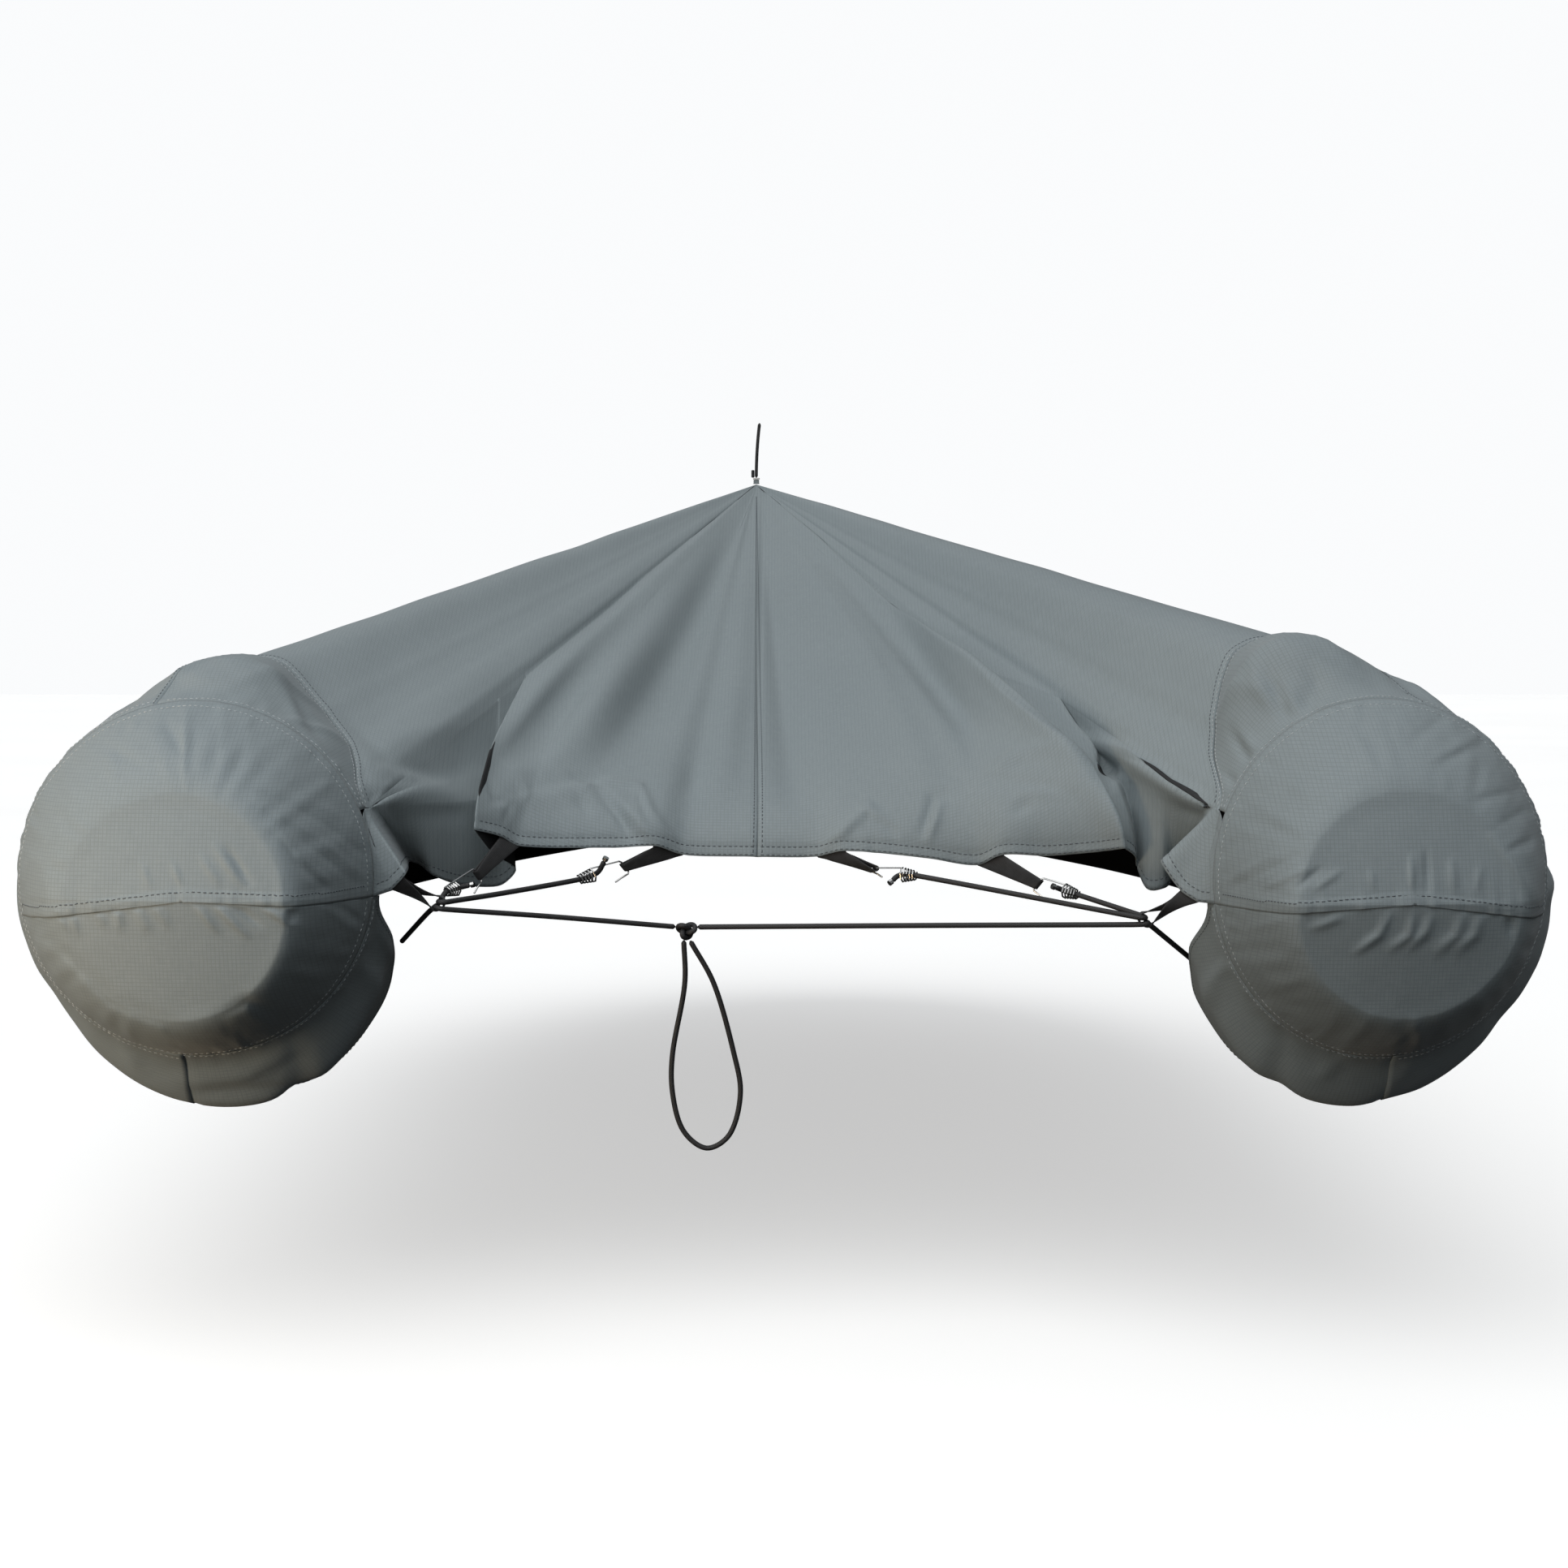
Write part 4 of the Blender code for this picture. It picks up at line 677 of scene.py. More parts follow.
# Folds of the cloth round the tube ends: angle and station at each end of the fold, half width in
# metres, height (below zero a hollow)
leftTubeFolds = (
    (-38.0, 0.14, -8.0, 0.36, 0.012, 0.006), (-62.0, 0.13, -30.0, 0.42, 0.016, 0.007),
    (-15.0, 0.13, 12.0, 0.30, 0.010, 0.005), (8.0, 0.14, 34.0, 0.26, 0.009, 0.004),
    (-86.0, 0.15, -60.0, 0.50, 0.020, 0.006), (150.0, 0.13, 168.0, 0.28, 0.016, -0.006),
    (118.0, 0.13, 128.0, 0.22, 0.012, 0.005), (30.0, 0.13, 46.0, 0.20, 0.007, 0.003),
)
rightTubeFolds = (
    (-44.0, 0.14, -14.0, 0.34, 0.011, 0.006), (-70.0, 0.13, -34.0, 0.44, 0.016, 0.008),
    (-22.0, 0.13, 6.0, 0.32, 0.010, 0.006), (0.0, 0.14, 30.0, 0.30, 0.009, 0.005),
    (-96.0, 0.15, -66.0, 0.50, 0.022, 0.008), (150.0, 0.13, 170.0, 0.28, 0.016, -0.006),
    (120.0, 0.13, 132.0, 0.22, 0.012, 0.005), (26.0, 0.13, 44.0, 0.24, 0.008, 0.004),
)
wrinkleSizes = {
    "groove": 0.0026, "grooveWide": 0.0050, "pucker": 0.0016, "puckerReach": 0.022, "puckerAngle": 3.2,
    "ripple": 0.0022, "rippleAngle": 9.0, "rippleLong": 0.17,
}


def tubeAxis(sock, station):
    side, x = sock["side"], sock["tubeX"]
    turn = np.clip((station - tubePlan["straightEnd"]) / tubePlan["bowPath"], 0.0, 1.0) * math.pi / 2
    bent = station > tubePlan["straightEnd"]
    centre = np.stack([
        side * x * np.cos(turn),
        np.where(bent, tubePlan["straightEnd"] + tubePlan["bowReach"] * np.sin(turn), station),
        tubePlan["bowRise"] * (turn / (math.pi / 2)) ** 2,
    ], axis=-1)
    out = unit(np.stack([side * np.cos(turn) / x, np.sin(turn) / tubePlan["bowReach"], 0 * turn], axis=-1))
    return centre, out


def girth(sock, angle, station):
    a = np.radians(angle)
    atSeam = 1.0 / np.hypot(np.sin(a) / sock["seamWide"], np.cos(a) / sock["seamHigh"])
    swell = 0.0
    for middle, wide, high in sock["swells"]:
        away = (angle - middle + 180.0) % 360.0 - 180.0
        swell = swell + ridge(away, 0.0, wide, high)
    fade = 0.2 + 0.8 * np.exp(-((np.maximum(station - 0.27, 0.0) / 0.40) ** 2))
    full = sock["girth"] + swell * fade
    touch = tubePlan["touchAngle"] + (tubePlan["touchAngleBow"] - tubePlan["touchAngle"]) * smooth(
        (station - 1.5) / 1.6)
    lifted = (touch < angle) & (angle < 10.0)
    offTube = sock["girth"] * (1.0 / np.cos(np.radians(np.where(lifted, angle - touch, 0.0))) - 1.0)
    full = full + np.where(lifted, offTube, 0.0) * smooth((station - 0.30) / 0.45)
    t = smooth((station - tubePlan["seamForward"]) / (tubePlan["fullForward"] - tubePlan["seamForward"]))
    return atSeam * (1.0 - t) + full * t


def foldHeight(folds, angle, station, reach=0.2):
    # How far long folds lift the cloth of a tube. Degrees count as metres round it
    total = 0.0
    perDegree = math.radians(1.0) * reach
    for angleOne, stationOne, angleTwo, stationTwo, wide, high in folds:
        away = (angle - angleOne + 180.0) % 360.0 - 180.0
        dx, dy = (angleTwo - angleOne) * perDegree, stationTwo - stationOne
        px, py = away * perDegree, station - stationOne
        t = np.clip((px * dx + py * dy) / (dx * dx + dy * dy), 0.0, 1.0)
        off = np.hypot(px - t * dx, py - t * dy) / (wide * (0.6 + 0.8 * t))
        total = total + high * np.exp(-off * off) * np.sin(math.pi * np.clip(t * 0.8 + 0.12, 0.0, 1.0))
    return total


def tubeWrinkles(sock, angle, station):
    # What stands off the plain girth: seam groove, puckers, ripples and folds
    past = np.abs(station - tubePlan["seamForward"])
    lift = ridge(past, 0.0, wrinkleSizes["grooveWide"], -wrinkleSizes["groove"])
    turns = int(360.0 / wrinkleSizes["puckerAngle"])
    pucker = softNoise(angle * turns / 360.0, past * 20.0, sock["seed"], turns)
    edge = smooth(past / 0.004) * np.exp(-past / wrinkleSizes["puckerReach"])
    lift = lift + wrinkleSizes["pucker"] * pucker * edge
    rounds = int(360.0 / wrinkleSizes["rippleAngle"])
    ripple = softNoise(angle * rounds / 360.0 + station * 1.3, station / wrinkleSizes["rippleLong"],
                       sock["seed"] + 1, rounds)
    calm = smooth(past / 0.05) * (0.45 + 0.55 * np.exp(-station / 0.5))
    lift = lift + wrinkleSizes["ripple"] * ripple * calm
    folds = leftTubeFolds if sock["side"] < 0 else rightTubeFolds
    return lift + foldHeight(folds, angle, station) * smooth(past / 0.02)


def tubeCloth(sock, angle, station):
    # Angles are from the top of the tube, inboard is positive
    angle, station = np.broadcast_arrays(np.asarray(angle, float), np.asarray(station, float))
    centre, out = tubeAxis(sock, station)
    a = np.radians(angle)
    r = girth(sock, angle, station) + tubeWrinkles(sock, angle, station)
    up = np.zeros(a.shape + (3,))
    up[..., 2] = r * np.cos(a)
    return centre - out * (r * np.sin(a))[..., None] + up


def crestAngle(station):
    start = tubePlan["crestStart"]
    return start + (tubePlan["crestAngle"] - start) * smooth((station - tubePlan["seamForward"]) / 0.12)


def skirtFoot(station):
    return tubePlan["underAngle"] - 360.0 + 25.0 * smooth((station - 0.30) / 0.30)


endSizes = {
    "radial": 0.0010, "radialAngle": 5.0, "pucker": 0.0016, "rim": 0.0006, "lap": 0.0100, "lapHigh": 0.0013,
    "lapGroove": 0.0006, "lapClear": 1.5, "gather": 0.0012, "gatherSize": 0.008, "bow": 1.7, "toe": 0.12,
}

# Creases of the cloth over the tube ends, written as those of the top are
endCreases = (
    (((-626, -62), (-609, -94)), -4.0, 5, 7), (((-604, -44), (-606, -122)), 3.0, 4, 9),
    (((-596, -53), (-600, -109)), -2.5, 6, 5), (((-641, -66), (-619, -122)), 2.0, 8, 8),
    (((-565, -40), (-568, -100)), 2.5, 6, 8), (((-537, -53), (-542, -105)), 2.0, 6, 8),
    (((-697, -79), (-650, -105)), -2.5, 7, 6), (((-516, -126), (-455, -152), (-421, -182)), 2.0, 5, 4),
    (((-529, -131), (-464, -165), (-416, -204)), -2.5, 4, 4),
    (((-533, -139), (-477, -174), (-421, -221)), 3.0, 4, 4),
    (((-524, -152), (-481, -187), (-434, -225)), -3.0, 4, 4),
    (((-516, -165), (-490, -195), (-455, -228)), 3.0, 4, 4),
    (((-507, -182), (-490, -208), (-468, -228)), -3.0, 4, 4), (((-650, -205), (-643, -228)), 1.6, 4, 4),
    (((-619, -205), (-611, -224)), 1.8, 4, 4), (((-576, -187), (-550, -224)), 2.5, 4, 4),
    (((-563, -190), (-542, -224)), -2.5, 4, 4), (((-590, -198), (-572, -224)), 2.0, 4, 4),
    (((-751, -237), (-745, -208)), 2.0, 5, 6), (((-737, -252), (-726, -272)), 2.4, 4, 4),
    (((-724, -252), (-716, -275)), 2.4, 4, 4), (((-699, -250), (-688, -268)), 2.0, 4, 5),
    (((-677, -247), (-672, -271)), 2.4, 4, 4), (((-658, -248), (-644, -272)), 2.2, 4, 5),
    (((-639, -247), (-623, -268)), 2.2, 4, 5), (((-595, -247), (-576, -272)), 2.4, 4, 5),
    (((-576, -246), (-546, -277)), 3.0, 4, 5), (((-557, -246), (-532, -266)), -2.4, 4, 5),
    (((-500, -250), (-500, -266)), -4.0, 4, 9), (((-530, -246), (-502, -266)), 3.0, 4, 6),
    (((-472, -243), (-429, -275)), 2.5, 5, 4), (((-456, -243), (-423, -269)), -3.0, 4, 4),
    (((-772, -272), (-743, -283), (-715, -310), (-683, -346), (-628, -368), (-606, -395)), -3.0, 5, 10),
    (((-571, -359), (-546, -346), (-520, -350)), -4.0, 6, 7),
    (((-640, -372), (-612, -384), (-600, -400)), 3.5, 6, 8),
    (((-669, -366), (-660, -392)), 2.5, 6, 6), (((-560, -372), (-548, -396)), 2.0, 6, 6),
    (((588, -38), (583, -70)), -2.5, 5, 8), (((617, -46), (620, -82)), 2.0, 4, 9),
    (((671, -54), (634, -82)), -3.0, 6, 6), (((709, -82), (662, -104)), -3.0, 6, 6),
    (((701, -74), (656, -98)), 2.4, 6, 6), (((746, -129), (699, -141)), -2.6, 5, 6),
    (((755, -147), (724, -166)), -2.4, 5, 6), (((761, -178), (734, -191)), -2.0, 4, 5),
    (((442, -225), (498, -194)), 2.0, 4, 4), (((451, -231), (519, -197)), -2.2, 4, 4),
    (((479, -232), (529, -209)), 2.2, 4, 4), (((519, -230), (544, -209)), -2.0, 4, 4),
    (((538, -230), (562, -212)), 2.0, 4, 4), (((594, -212), (597, -230)), 1.6, 4, 4),
    (((634, -200), (636, -230)), 2.4, 3, 5), (((650, -194), (653, -230)), -2.2, 4, 4),
    (((675, -203), (679, -232)), 2.2, 4, 4), (((704, -208), (702, -232)), 1.6, 4, 4),
    (((718, -178), (761, -238)), 2.6, 6, 5), (((563, -260), (535, -270)), 2.5, 5, 5),
    (((612, -258), (603, -277), (581, -293)), 3.2, 5, 5),
    (((637, -258), (634, -277), (616, -290)), 3.2, 5, 5),
    (((656, -258), (650, -274), (634, -290)), 3.2, 5, 5),
    (((687, -258), (681, -277), (662, -293)), 3.2, 5, 6),
    (((706, -258), (699, -277), (681, -293)), 3.2, 5, 6), (((734, -258), (737, -277)), -2.6, 4, 5),
    (((467, -271), (507, -261)), 2.2, 5, 5), (((448, -327), (513, -349), (563, -355)), -3.2, 8, 8),
    (((470, -305), (519, -340)), 2.6, 6, 8), (((563, -361), (538, -383)), 3.2, 6, 6),
    (((594, -364), (563, -395)), 3.2, 7, 7), (((640, -366), (645, -395)), 2.6, 7, 7),
    (((698, -352), (676, -380)), -2.6, 7, 7),
)


def tubeEnd(sock, angle, row):
    # The cloth over a tube's end: row 0 its hub, 1 the rim of the flat end, 2 the round seam
    angle, row = np.broadcast_arrays(np.asarray(angle, float), np.asarray(row, float))
    side = sock["side"]
    hub = np.array((side * sock["hubX"], 0.0, sock["hubUp"]))
    seam = tubeCloth(sock, angle, tubePlan["seamForward"])
    way = seam - hub
    way[..., 1] = 0.0
    off = hub - np.array((side * sock["discX"], 0.0, sock["discUp"]))
    a, b, c = (way * way).sum(-1), 2.0 * (way @ off), float(off @ off) - sock["discR"] ** 2
    atRim = (-b + np.sqrt(b * b - 4.0 * a * c)) / (2.0 * a)
    share = np.where(row <= 1.0, atRim * row, atRim + (1.0 - atRim) * (row - 1.0))
    point = hub + way * share[..., None]
    fromDisc = np.linalg.norm(off + way * share[..., None], axis=-1) / sock["discR"]
    past = np.clip(row - 1.0, 0.0, 1.0)
    flat = tubePlan["discForward"] - tubePlan["discBulge"] * (1.0 - fromDisc ** 2)
    deep = tubePlan["seamForward"] - tubePlan["discForward"]
    slope = tubePlan["discForward"] + deep * past ** endSizes["bow"]
    point[..., 1] = np.where(row <= 1.0, flat, slope)
    point[..., 1] += endSizes["toe"] * side * (point[..., 0] - hub[0]) * smooth((2.0 - row) / 1.0)
    over = np.abs(point[..., 2] - sock["hubUp"]) / sock["seamHigh"]
    point[..., 1] -= sock["ridge"] * np.clip(1.0 - over, 0.0, 1.0) ** 1.3 * smooth((2.0 - row) / 0.9)
    rounds = int(360.0 / endSizes["radialAngle"])
    radial = softNoise(angle * rounds / 360.0, past * 2.0, sock["seed"] + 2, rounds)
    fine = softNoise(angle * 112.0 / 360.0, past * 6.0, sock["seed"] + 3, 112)
    lift = endSizes["radial"] * radial * np.sin(math.pi * past)
    lift = lift + endSizes["pucker"] * fine * past ** 5 * smooth((1.0 - past) / 0.08)
    lift = lift + ridge(row, 1.0, 0.07, endSizes["rim"])
    outward = unit(np.stack([way[..., 0], np.full_like(share, -0.12), way[..., 2]], axis=-1))
    steep = smooth(past / 0.12)[..., None]
    lean = unit(outward * steep + np.array((0.0, -1.0, 0.0)) * (1.0 - 0.45 * steep))
    return point + lean * lift[..., None]


# The top is runs of cloth down from the peak, over an edge, to the hem.
# Rows: hem, edge where the cloth turns down, where its folds start (a share or a place)
leftTail = (
    ((-0.0300, 0.262, 0.012), (-0.0290, 0.276, 0.061), 0.72),
    ((-0.1110, 0.264, 0.014), (-0.1040, 0.275, 0.061), 0.72),
    ((-0.1430, 0.252, 0.024), (-0.1380, 0.270, 0.072), 0.70),
    ((-0.1900, 0.250, 0.023), (-0.1860, 0.268, 0.076), 0.70),
    ((-0.2900, 0.245, 0.025), (-0.2830, 0.260, 0.085), (-0.2290, 0.530, 0.2233)),
    ((-0.3100, 0.235, 0.036), (-0.3070, 0.250, 0.098), (-0.2690, 0.500, 0.2230)),
    ((-0.3380, 0.215, 0.045), (-0.3340, 0.235, 0.112), "taut line"),
)
# Rows: hem, edge, number of its point on the taut line, how far it sags
leftHanging = (
    ((-0.3200, 0.242, 0.017), (-0.3200, 0.252, 0.098), 0, 0.006),
    ((-0.2990, 0.278, -0.003), (-0.3055, 0.268, 0.075), 0, 0.014),
    ((-0.3130, 0.287, -0.020), (-0.3191, 0.280, 0.072), 1, 0.014),
    ((-0.3310, 0.280, -0.023), (-0.3367, 0.263, 0.071), 1, 0.014),
    ((-0.3610, 0.255, -0.018), (-0.3630, 0.235, 0.074), 2, 0.012),
    ((-0.3860, 0.235, -0.006), (-0.3950, 0.196, 0.083), 3, 0.006),
    ((-0.4020, 0.252, 0.004), (-0.4300, 0.150, 0.078), 4, 0.002),
    ((-0.4120, 0.246, 0.008), (-0.4350, 0.143, 0.074), 4, 0.001),
    ((-0.4030, 0.165, 0.006), (-0.4385, 0.135, 0.070), 4, -0.001),
    ((-0.3960, 0.100, 0.007), (-0.4405, 0.130, 0.066), 4, -0.002),
    ((-0.4000, 0.100, 0.001), (-0.4420, 0.126, 0.064), 4, -0.002),
    ((-0.4130, 0.105, -0.012), (-0.4438, 0.1215, 0.062), 4, -0.001),
)
rightTail = (
    ((-0.0300, 0.262, 0.012), (-0.0290, 0.276, 0.061), 0.72),
    ((0.0360, 0.264, 0.012), (0.0360, 0.276, 0.061), 0.72),
    ((0.0670, 0.254, 0.019), (0.0670, 0.272, 0.066), 0.70),
    ((0.1580, 0.255, 0.011), (0.1560, 0.270, 0.080), 0.68),
    ((0.2130, 0.257, 0.003), (0.2100, 0.265, 0.084), 0.66),
    ((0.2410, 0.247, 0.015), (0.2460, 0.262, 0.093), 0.66),
    ((0.2900, 0.247, 0.014), (0.2940, 0.252, 0.103), 0.66),
    ((0.3430, 0.238, 0.019), (0.3370, 0.240, 0.108), 0.66),
    ((0.3730, 0.222, 0.024), (0.3650, 0.225, 0.086), 0.68),
)
rightHanging = (
    ((0.3860, 0.240, 0.014), (0.3790, 0.242, 0.077), 0, 0.004),
    ((0.3910, 0.262, 0.000), (0.3870, 0.262, 0.085), 0, 0.008),
    ((0.4000, 0.246, -0.022), (0.3940, 0.245, 0.098), 1, 0.004),
    ((0.4180, 0.240, -0.021), (0.4070, 0.214, 0.098), 2, 0.004),
    ((0.4310, 0.252, -0.013), (0.4170, 0.200, 0.094), 3, 0.005),
    ((0.4420, 0.272, -0.009), (0.4400, 0.166, 0.082), 4, 0.002),
    ((0.4530, 0.266, -0.002), (0.4470, 0.156, 0.078), 4, 0.001),
    ((0.4280, 0.215, 0.008), (0.4520, 0.147, 0.073), 4, -0.001),
    ((0.4020, 0.150, 0.015), (0.4550, 0.139, 0.068), 4, -0.002),
    ((0.4200, 0.132, -0.014), (0.4585, 0.131, 0.063), 4, -0.002),
    ((0.4370, 0.122, -0.026), (0.4610, 0.125, 0.061), 4, -0.001),
)
# The seam from the notch up to the crest: angle round the tube, forward
leftCross = ((61.0, 0.138), (52.0, 0.180), (44.0, 0.220), (28.0, 0.270), (12.0, 0.310))
rightCross = ((62.0, 0.138), (57.6, 0.160), (51.0, 0.200), (41.6, 0.240), (28.3, 0.290), (14.0, 0.330))
crestStart = 0.345

# Long soft folds: place along the hem at the lower and upper end (from the middle seam), rows where
# the fold starts and ends (0 peak, 1 folds start, 2 edge, 3 hem), width, height (below zero a trough)
topFolds = (
    (-0.080, -0.080, 0.30, 2.10, 0.030, 0.006), (-0.205, -0.205, 0.28, 1.80, 0.040, -0.011),
    (-0.262, -0.262, 0.45, 2.05, 0.026, 0.006), (-0.312, -0.297, 0.95, 1.95, 0.018, -0.012),
    (0.012, 0.012, 0.25, 2.20, 0.022, -0.008), (0.200, 0.200, 0.30, 2.05, 0.036, 0.008),
    (0.275, 0.275, 0.45, 1.90, 0.030, -0.012), (0.368, 0.352, 0.68, 2.05, 0.024, 0.016),
)
topPlan = {
    "slopeSteps": 66, "foldSteps": 60, "edgeSteps": 20, "tailColumns": 150, "wedgeColumns": 8,
    "crossColumns": 40, "crestColumns": 36, "rounding": (0.22, 0.22), "edgeRounding": (0.42, 0.80),
    "hangingSpacing": 0.0032,
    "sagWay": (0.0, 0.6, -0.8), "liftWay": (0.0, -0.41, 0.91),
}
slopeRows = np.linspace(0.0, 1.0, topPlan["slopeSteps"] + 1)
foldRows = np.linspace(1.0, 2.0, topPlan["foldSteps"] + 1)[1:]
edgeRows = np.linspace(2.0, 3.0, topPlan["edgeSteps"] + 1)[1:]
upperRows = np.concatenate([slopeRows, foldRows])
allRows = np.concatenate([upperRows, edgeRows])
firstRow = topPlan["slopeSteps"]
numberRows = (1.0, 1.18, 1.45, 1.75, 2.0)


def roundedRuns(knots, rows, bends=None):
    # Straight runs through knots (column, knot, xyz), rounded where they turn. Whole rows are knots
    last = knots.shape[1] - 1
    # the last bend is the soft one over the edge
    overEdge = np.arange(last + 1) == last - 1
    before, after = (np.where(overEdge, soft, plain)
                     for soft, plain in zip(topPlan["edgeRounding"], topPlan["rounding"]))

    def straight(at):
        i = np.clip(at.astype(int), 0, last - 1)
        return knots[:, i] + (knots[:, i + 1] - knots[:, i]) * (at - i)[None, :, None]

    out = straight(rows)
    near = np.round(rows)
    for knot in range(1, last):
        near = np.where((rows > knot - before[knot]) & (rows < knot + after[knot]), knot, near)
    inside = np.clip(near, 0, last).astype(int)
    turning = (near > 0) & (near < last) & (rows > near - before[inside]) & (rows < near + after[inside])
    if bends is not None:
        turning &= np.isin(near, bends)
    if turning.any():
        middle = near[turning]
        back, forth = before[middle.astype(int)], after[middle.astype(int)]
        # t runs so that the curve leaves and meets the straight runs without a kink
        u = (rows[turning] - middle + back) / (back + forth)
        a, c = straight(middle - back), straight(middle + forth)
        q = back / (back + forth)
        even = np.abs(1 - 2 * q) < 1e-6
        root = np.sqrt(np.maximum(q * q + (1 - 2 * q) * u, 0.0))
        t = np.where(even, u, (root - q) / np.where(even, 1.0, 1 - 2 * q))[None, :, None]
        out[:, turning] = (1 - t) ** 2 * a + 2 * t * (1 - t) * knots[:, middle.astype(int)] + t * t * c
    return out


def foldLift(sock, along, rows):
    where = (along * sock["side"] - 0.03)[:, None]
    rows = rows[None, :]
    lift = np.zeros((len(along), rows.shape[1]))
    for low, high, top, foot, wide, height in topFolds:
        t = np.clip((rows - top) / (foot - top), 0.0, 1.0)
        away = (where - high - (low - high) * t) / wide
        lift = lift + height * np.exp(-away * away) * np.sin(math.pi * t) ** 1.2
    return lift[:, :, None] * np.array(topPlan["liftWay"])


def crossLineOf(sock, cross, share):
    # The cross seam by its share from the notch to the crest. 3.5 mm of it go to a degree of angle
    places = np.array([(sock["notchAngle"], tubePlan["notchForward"])] + list(cross)
                      + [(tubePlan["crestAngle"], crestStart)])
    gaps = np.linalg.norm(np.diff(places, axis=0) * (0.0035, 1.0), axis=1)
    knots = np.concatenate([[0.0], np.cumsum(gaps)])
    return curveThrough(knots, places, share * knots[-1])


def topGrids(sock, tail, hanging, cross, tautStart):
    # Grids of points (column, row, xyz): tail, wedge, hanging part and the rest
    notch = tubeCloth(sock, sock["notchAngle"], tubePlan["notchForward"])
    tautKnots = np.array([[peak, peak + (notch - peak) * tautStart, notch]])
    tautLine = roundedRuns(tautKnots, upperRows, bends=())[0]

    hems = np.array([row[0] for row in tail])
    along = np.concatenate([[0.0], np.cumsum(np.linalg.norm(np.diff(hems, axis=0), axis=1))])
    knots = []
    for hem, edge, where in tail:
        edge = np.array(edge)
        if isinstance(where, tuple):
            start = np.array(where)
        elif where == "taut line":
            start = tautLine[firstRow]
        else:
            start = peak + (edge - peak) * where
        knots.append((peak, start, edge, np.array(hem)))
    joined = tail[-1][2] == "taut line"
    at = np.linspace(0.0, along[-1], topPlan["tailColumns"])
    here = curveThrough(along, knots, at)
    tailGrid = roundedRuns(here, allRows)
    lift = foldLift(sock, at, allRows)
    if joined:
        near = smooth((at - (along[-1] - 0.022)) / 0.022)[:, None, None]
        sharp = roundedRuns(here, allRows, bends=(2.0,))
        above = (allRows < 1.3)[None, :, None]
        tailGrid = np.where(above, tailGrid * (1.0 - near) + sharp * near, tailGrid)
        lift = lift * (1.0 - near * (1.0 - smooth((allRows - 1.0) / 0.25))[None, :, None])
    tailGrid = tailGrid + lift
    tailGrid[:, 0] = peak
    if joined:
        tailGrid[-1, : firstRow + 1] = tautLine[: firstRow + 1]
    front = tailGrid[-1]

    steps = topPlan["wedgeColumns"]
    t = np.linspace(0.0, 1.0, steps + 1)[:, None, None]
    wedgeGrid = front[None, : firstRow + 1] * (1.0 - t) + tautLine[None, : firstRow + 1] * t
    if joined:
        wedgeGrid = wedgeGrid[:1]

    chainHem = np.array([tail[-1][0]] + [row[0] for row in hanging])
    chainEdge = np.array([tail[-1][1]] + [row[1] for row in hanging])
    chainTau = np.array([1.0] + [numberRows[row[2]] for row in hanging])
    chainSag = np.array([0.0] + [row[3] for row in hanging])
    gaps = np.linalg.norm(np.diff((chainHem + chainEdge) / 2, axis=0), axis=1) + 0.004
    params = np.concatenate([[0.0], np.cumsum(gaps)])
    at, tau = [], []
    for k in range(len(gaps)):
        span = int(round((chainTau[k + 1] - chainTau[k]) * topPlan["foldSteps"]))
        count = steps if k == 0 else max(int(math.ceil(gaps[k] / topPlan["hangingSpacing"])), span, 3)
        share = np.arange(count) / count
        at.extend(params[k] + gaps[k] * share)
        reached = chainTau[k] + (chainTau[k + 1] - chainTau[k]) * share
        tau.extend(np.round((reached - 1.0) * topPlan["foldSteps"]))
    at.append(params[-1])
    tau.append(round((chainTau[-1] - 1.0) * topPlan["foldSteps"]))
    at, tau = np.array(at), np.array(tau, int)
    hemLine, edgeLine = curveThrough(params, chainHem, at), curveThrough(params, chainEdge, at)
    sag = np.interp(at, params, chainSag)
    tops = tautLine[firstRow + tau].copy()
    if not joined:
        tops[: steps + 1] = wedgeGrid[:, -1]
    lowerRows = allRows[firstRow:] - 1.0
    hangingGrid = roundedRuns(np.stack([tops, edgeLine, hemLine], axis=1), lowerRows)
    hollow = sag[:, None] * np.sin(math.pi * np.minimum(lowerRows, 1.0))[None, :]
    hangingGrid = hangingGrid + hollow[:, :, None] * np.array(topPlan["sagWay"])
    hangingGrid[0] = front[firstRow:]

    apex = firstRow + int(tau[-1])
    climb = np.linspace(0.0, 1.0, topPlan["foldSteps"] + 1)
    climb = np.round(apex + (len(upperRows) - 1 - apex) * climb).astype(int)
    down = edgeRows - 2.0
    seamAngle = sock["notchAngle"] + (sock["levelIn"] - sock["notchAngle"]) * down
    back = (tubePlan["seamForward"] - tubePlan["notchForward"]) * np.minimum(down / 0.07, 1.0)
    seamStation = tubePlan["notchForward"] + back
    seamColumn = np.concatenate([tautLine[climb], tubeCloth(sock, seamAngle, seamStation)])
    lastColumn = hangingGrid[-1]
    t = smooth(np.linspace(0.0, 1.0, 13)[1:])[:, None, None]
    hangingGrid = np.concatenate([hangingGrid, lastColumn * (1.0 - t) + seamColumn * t])

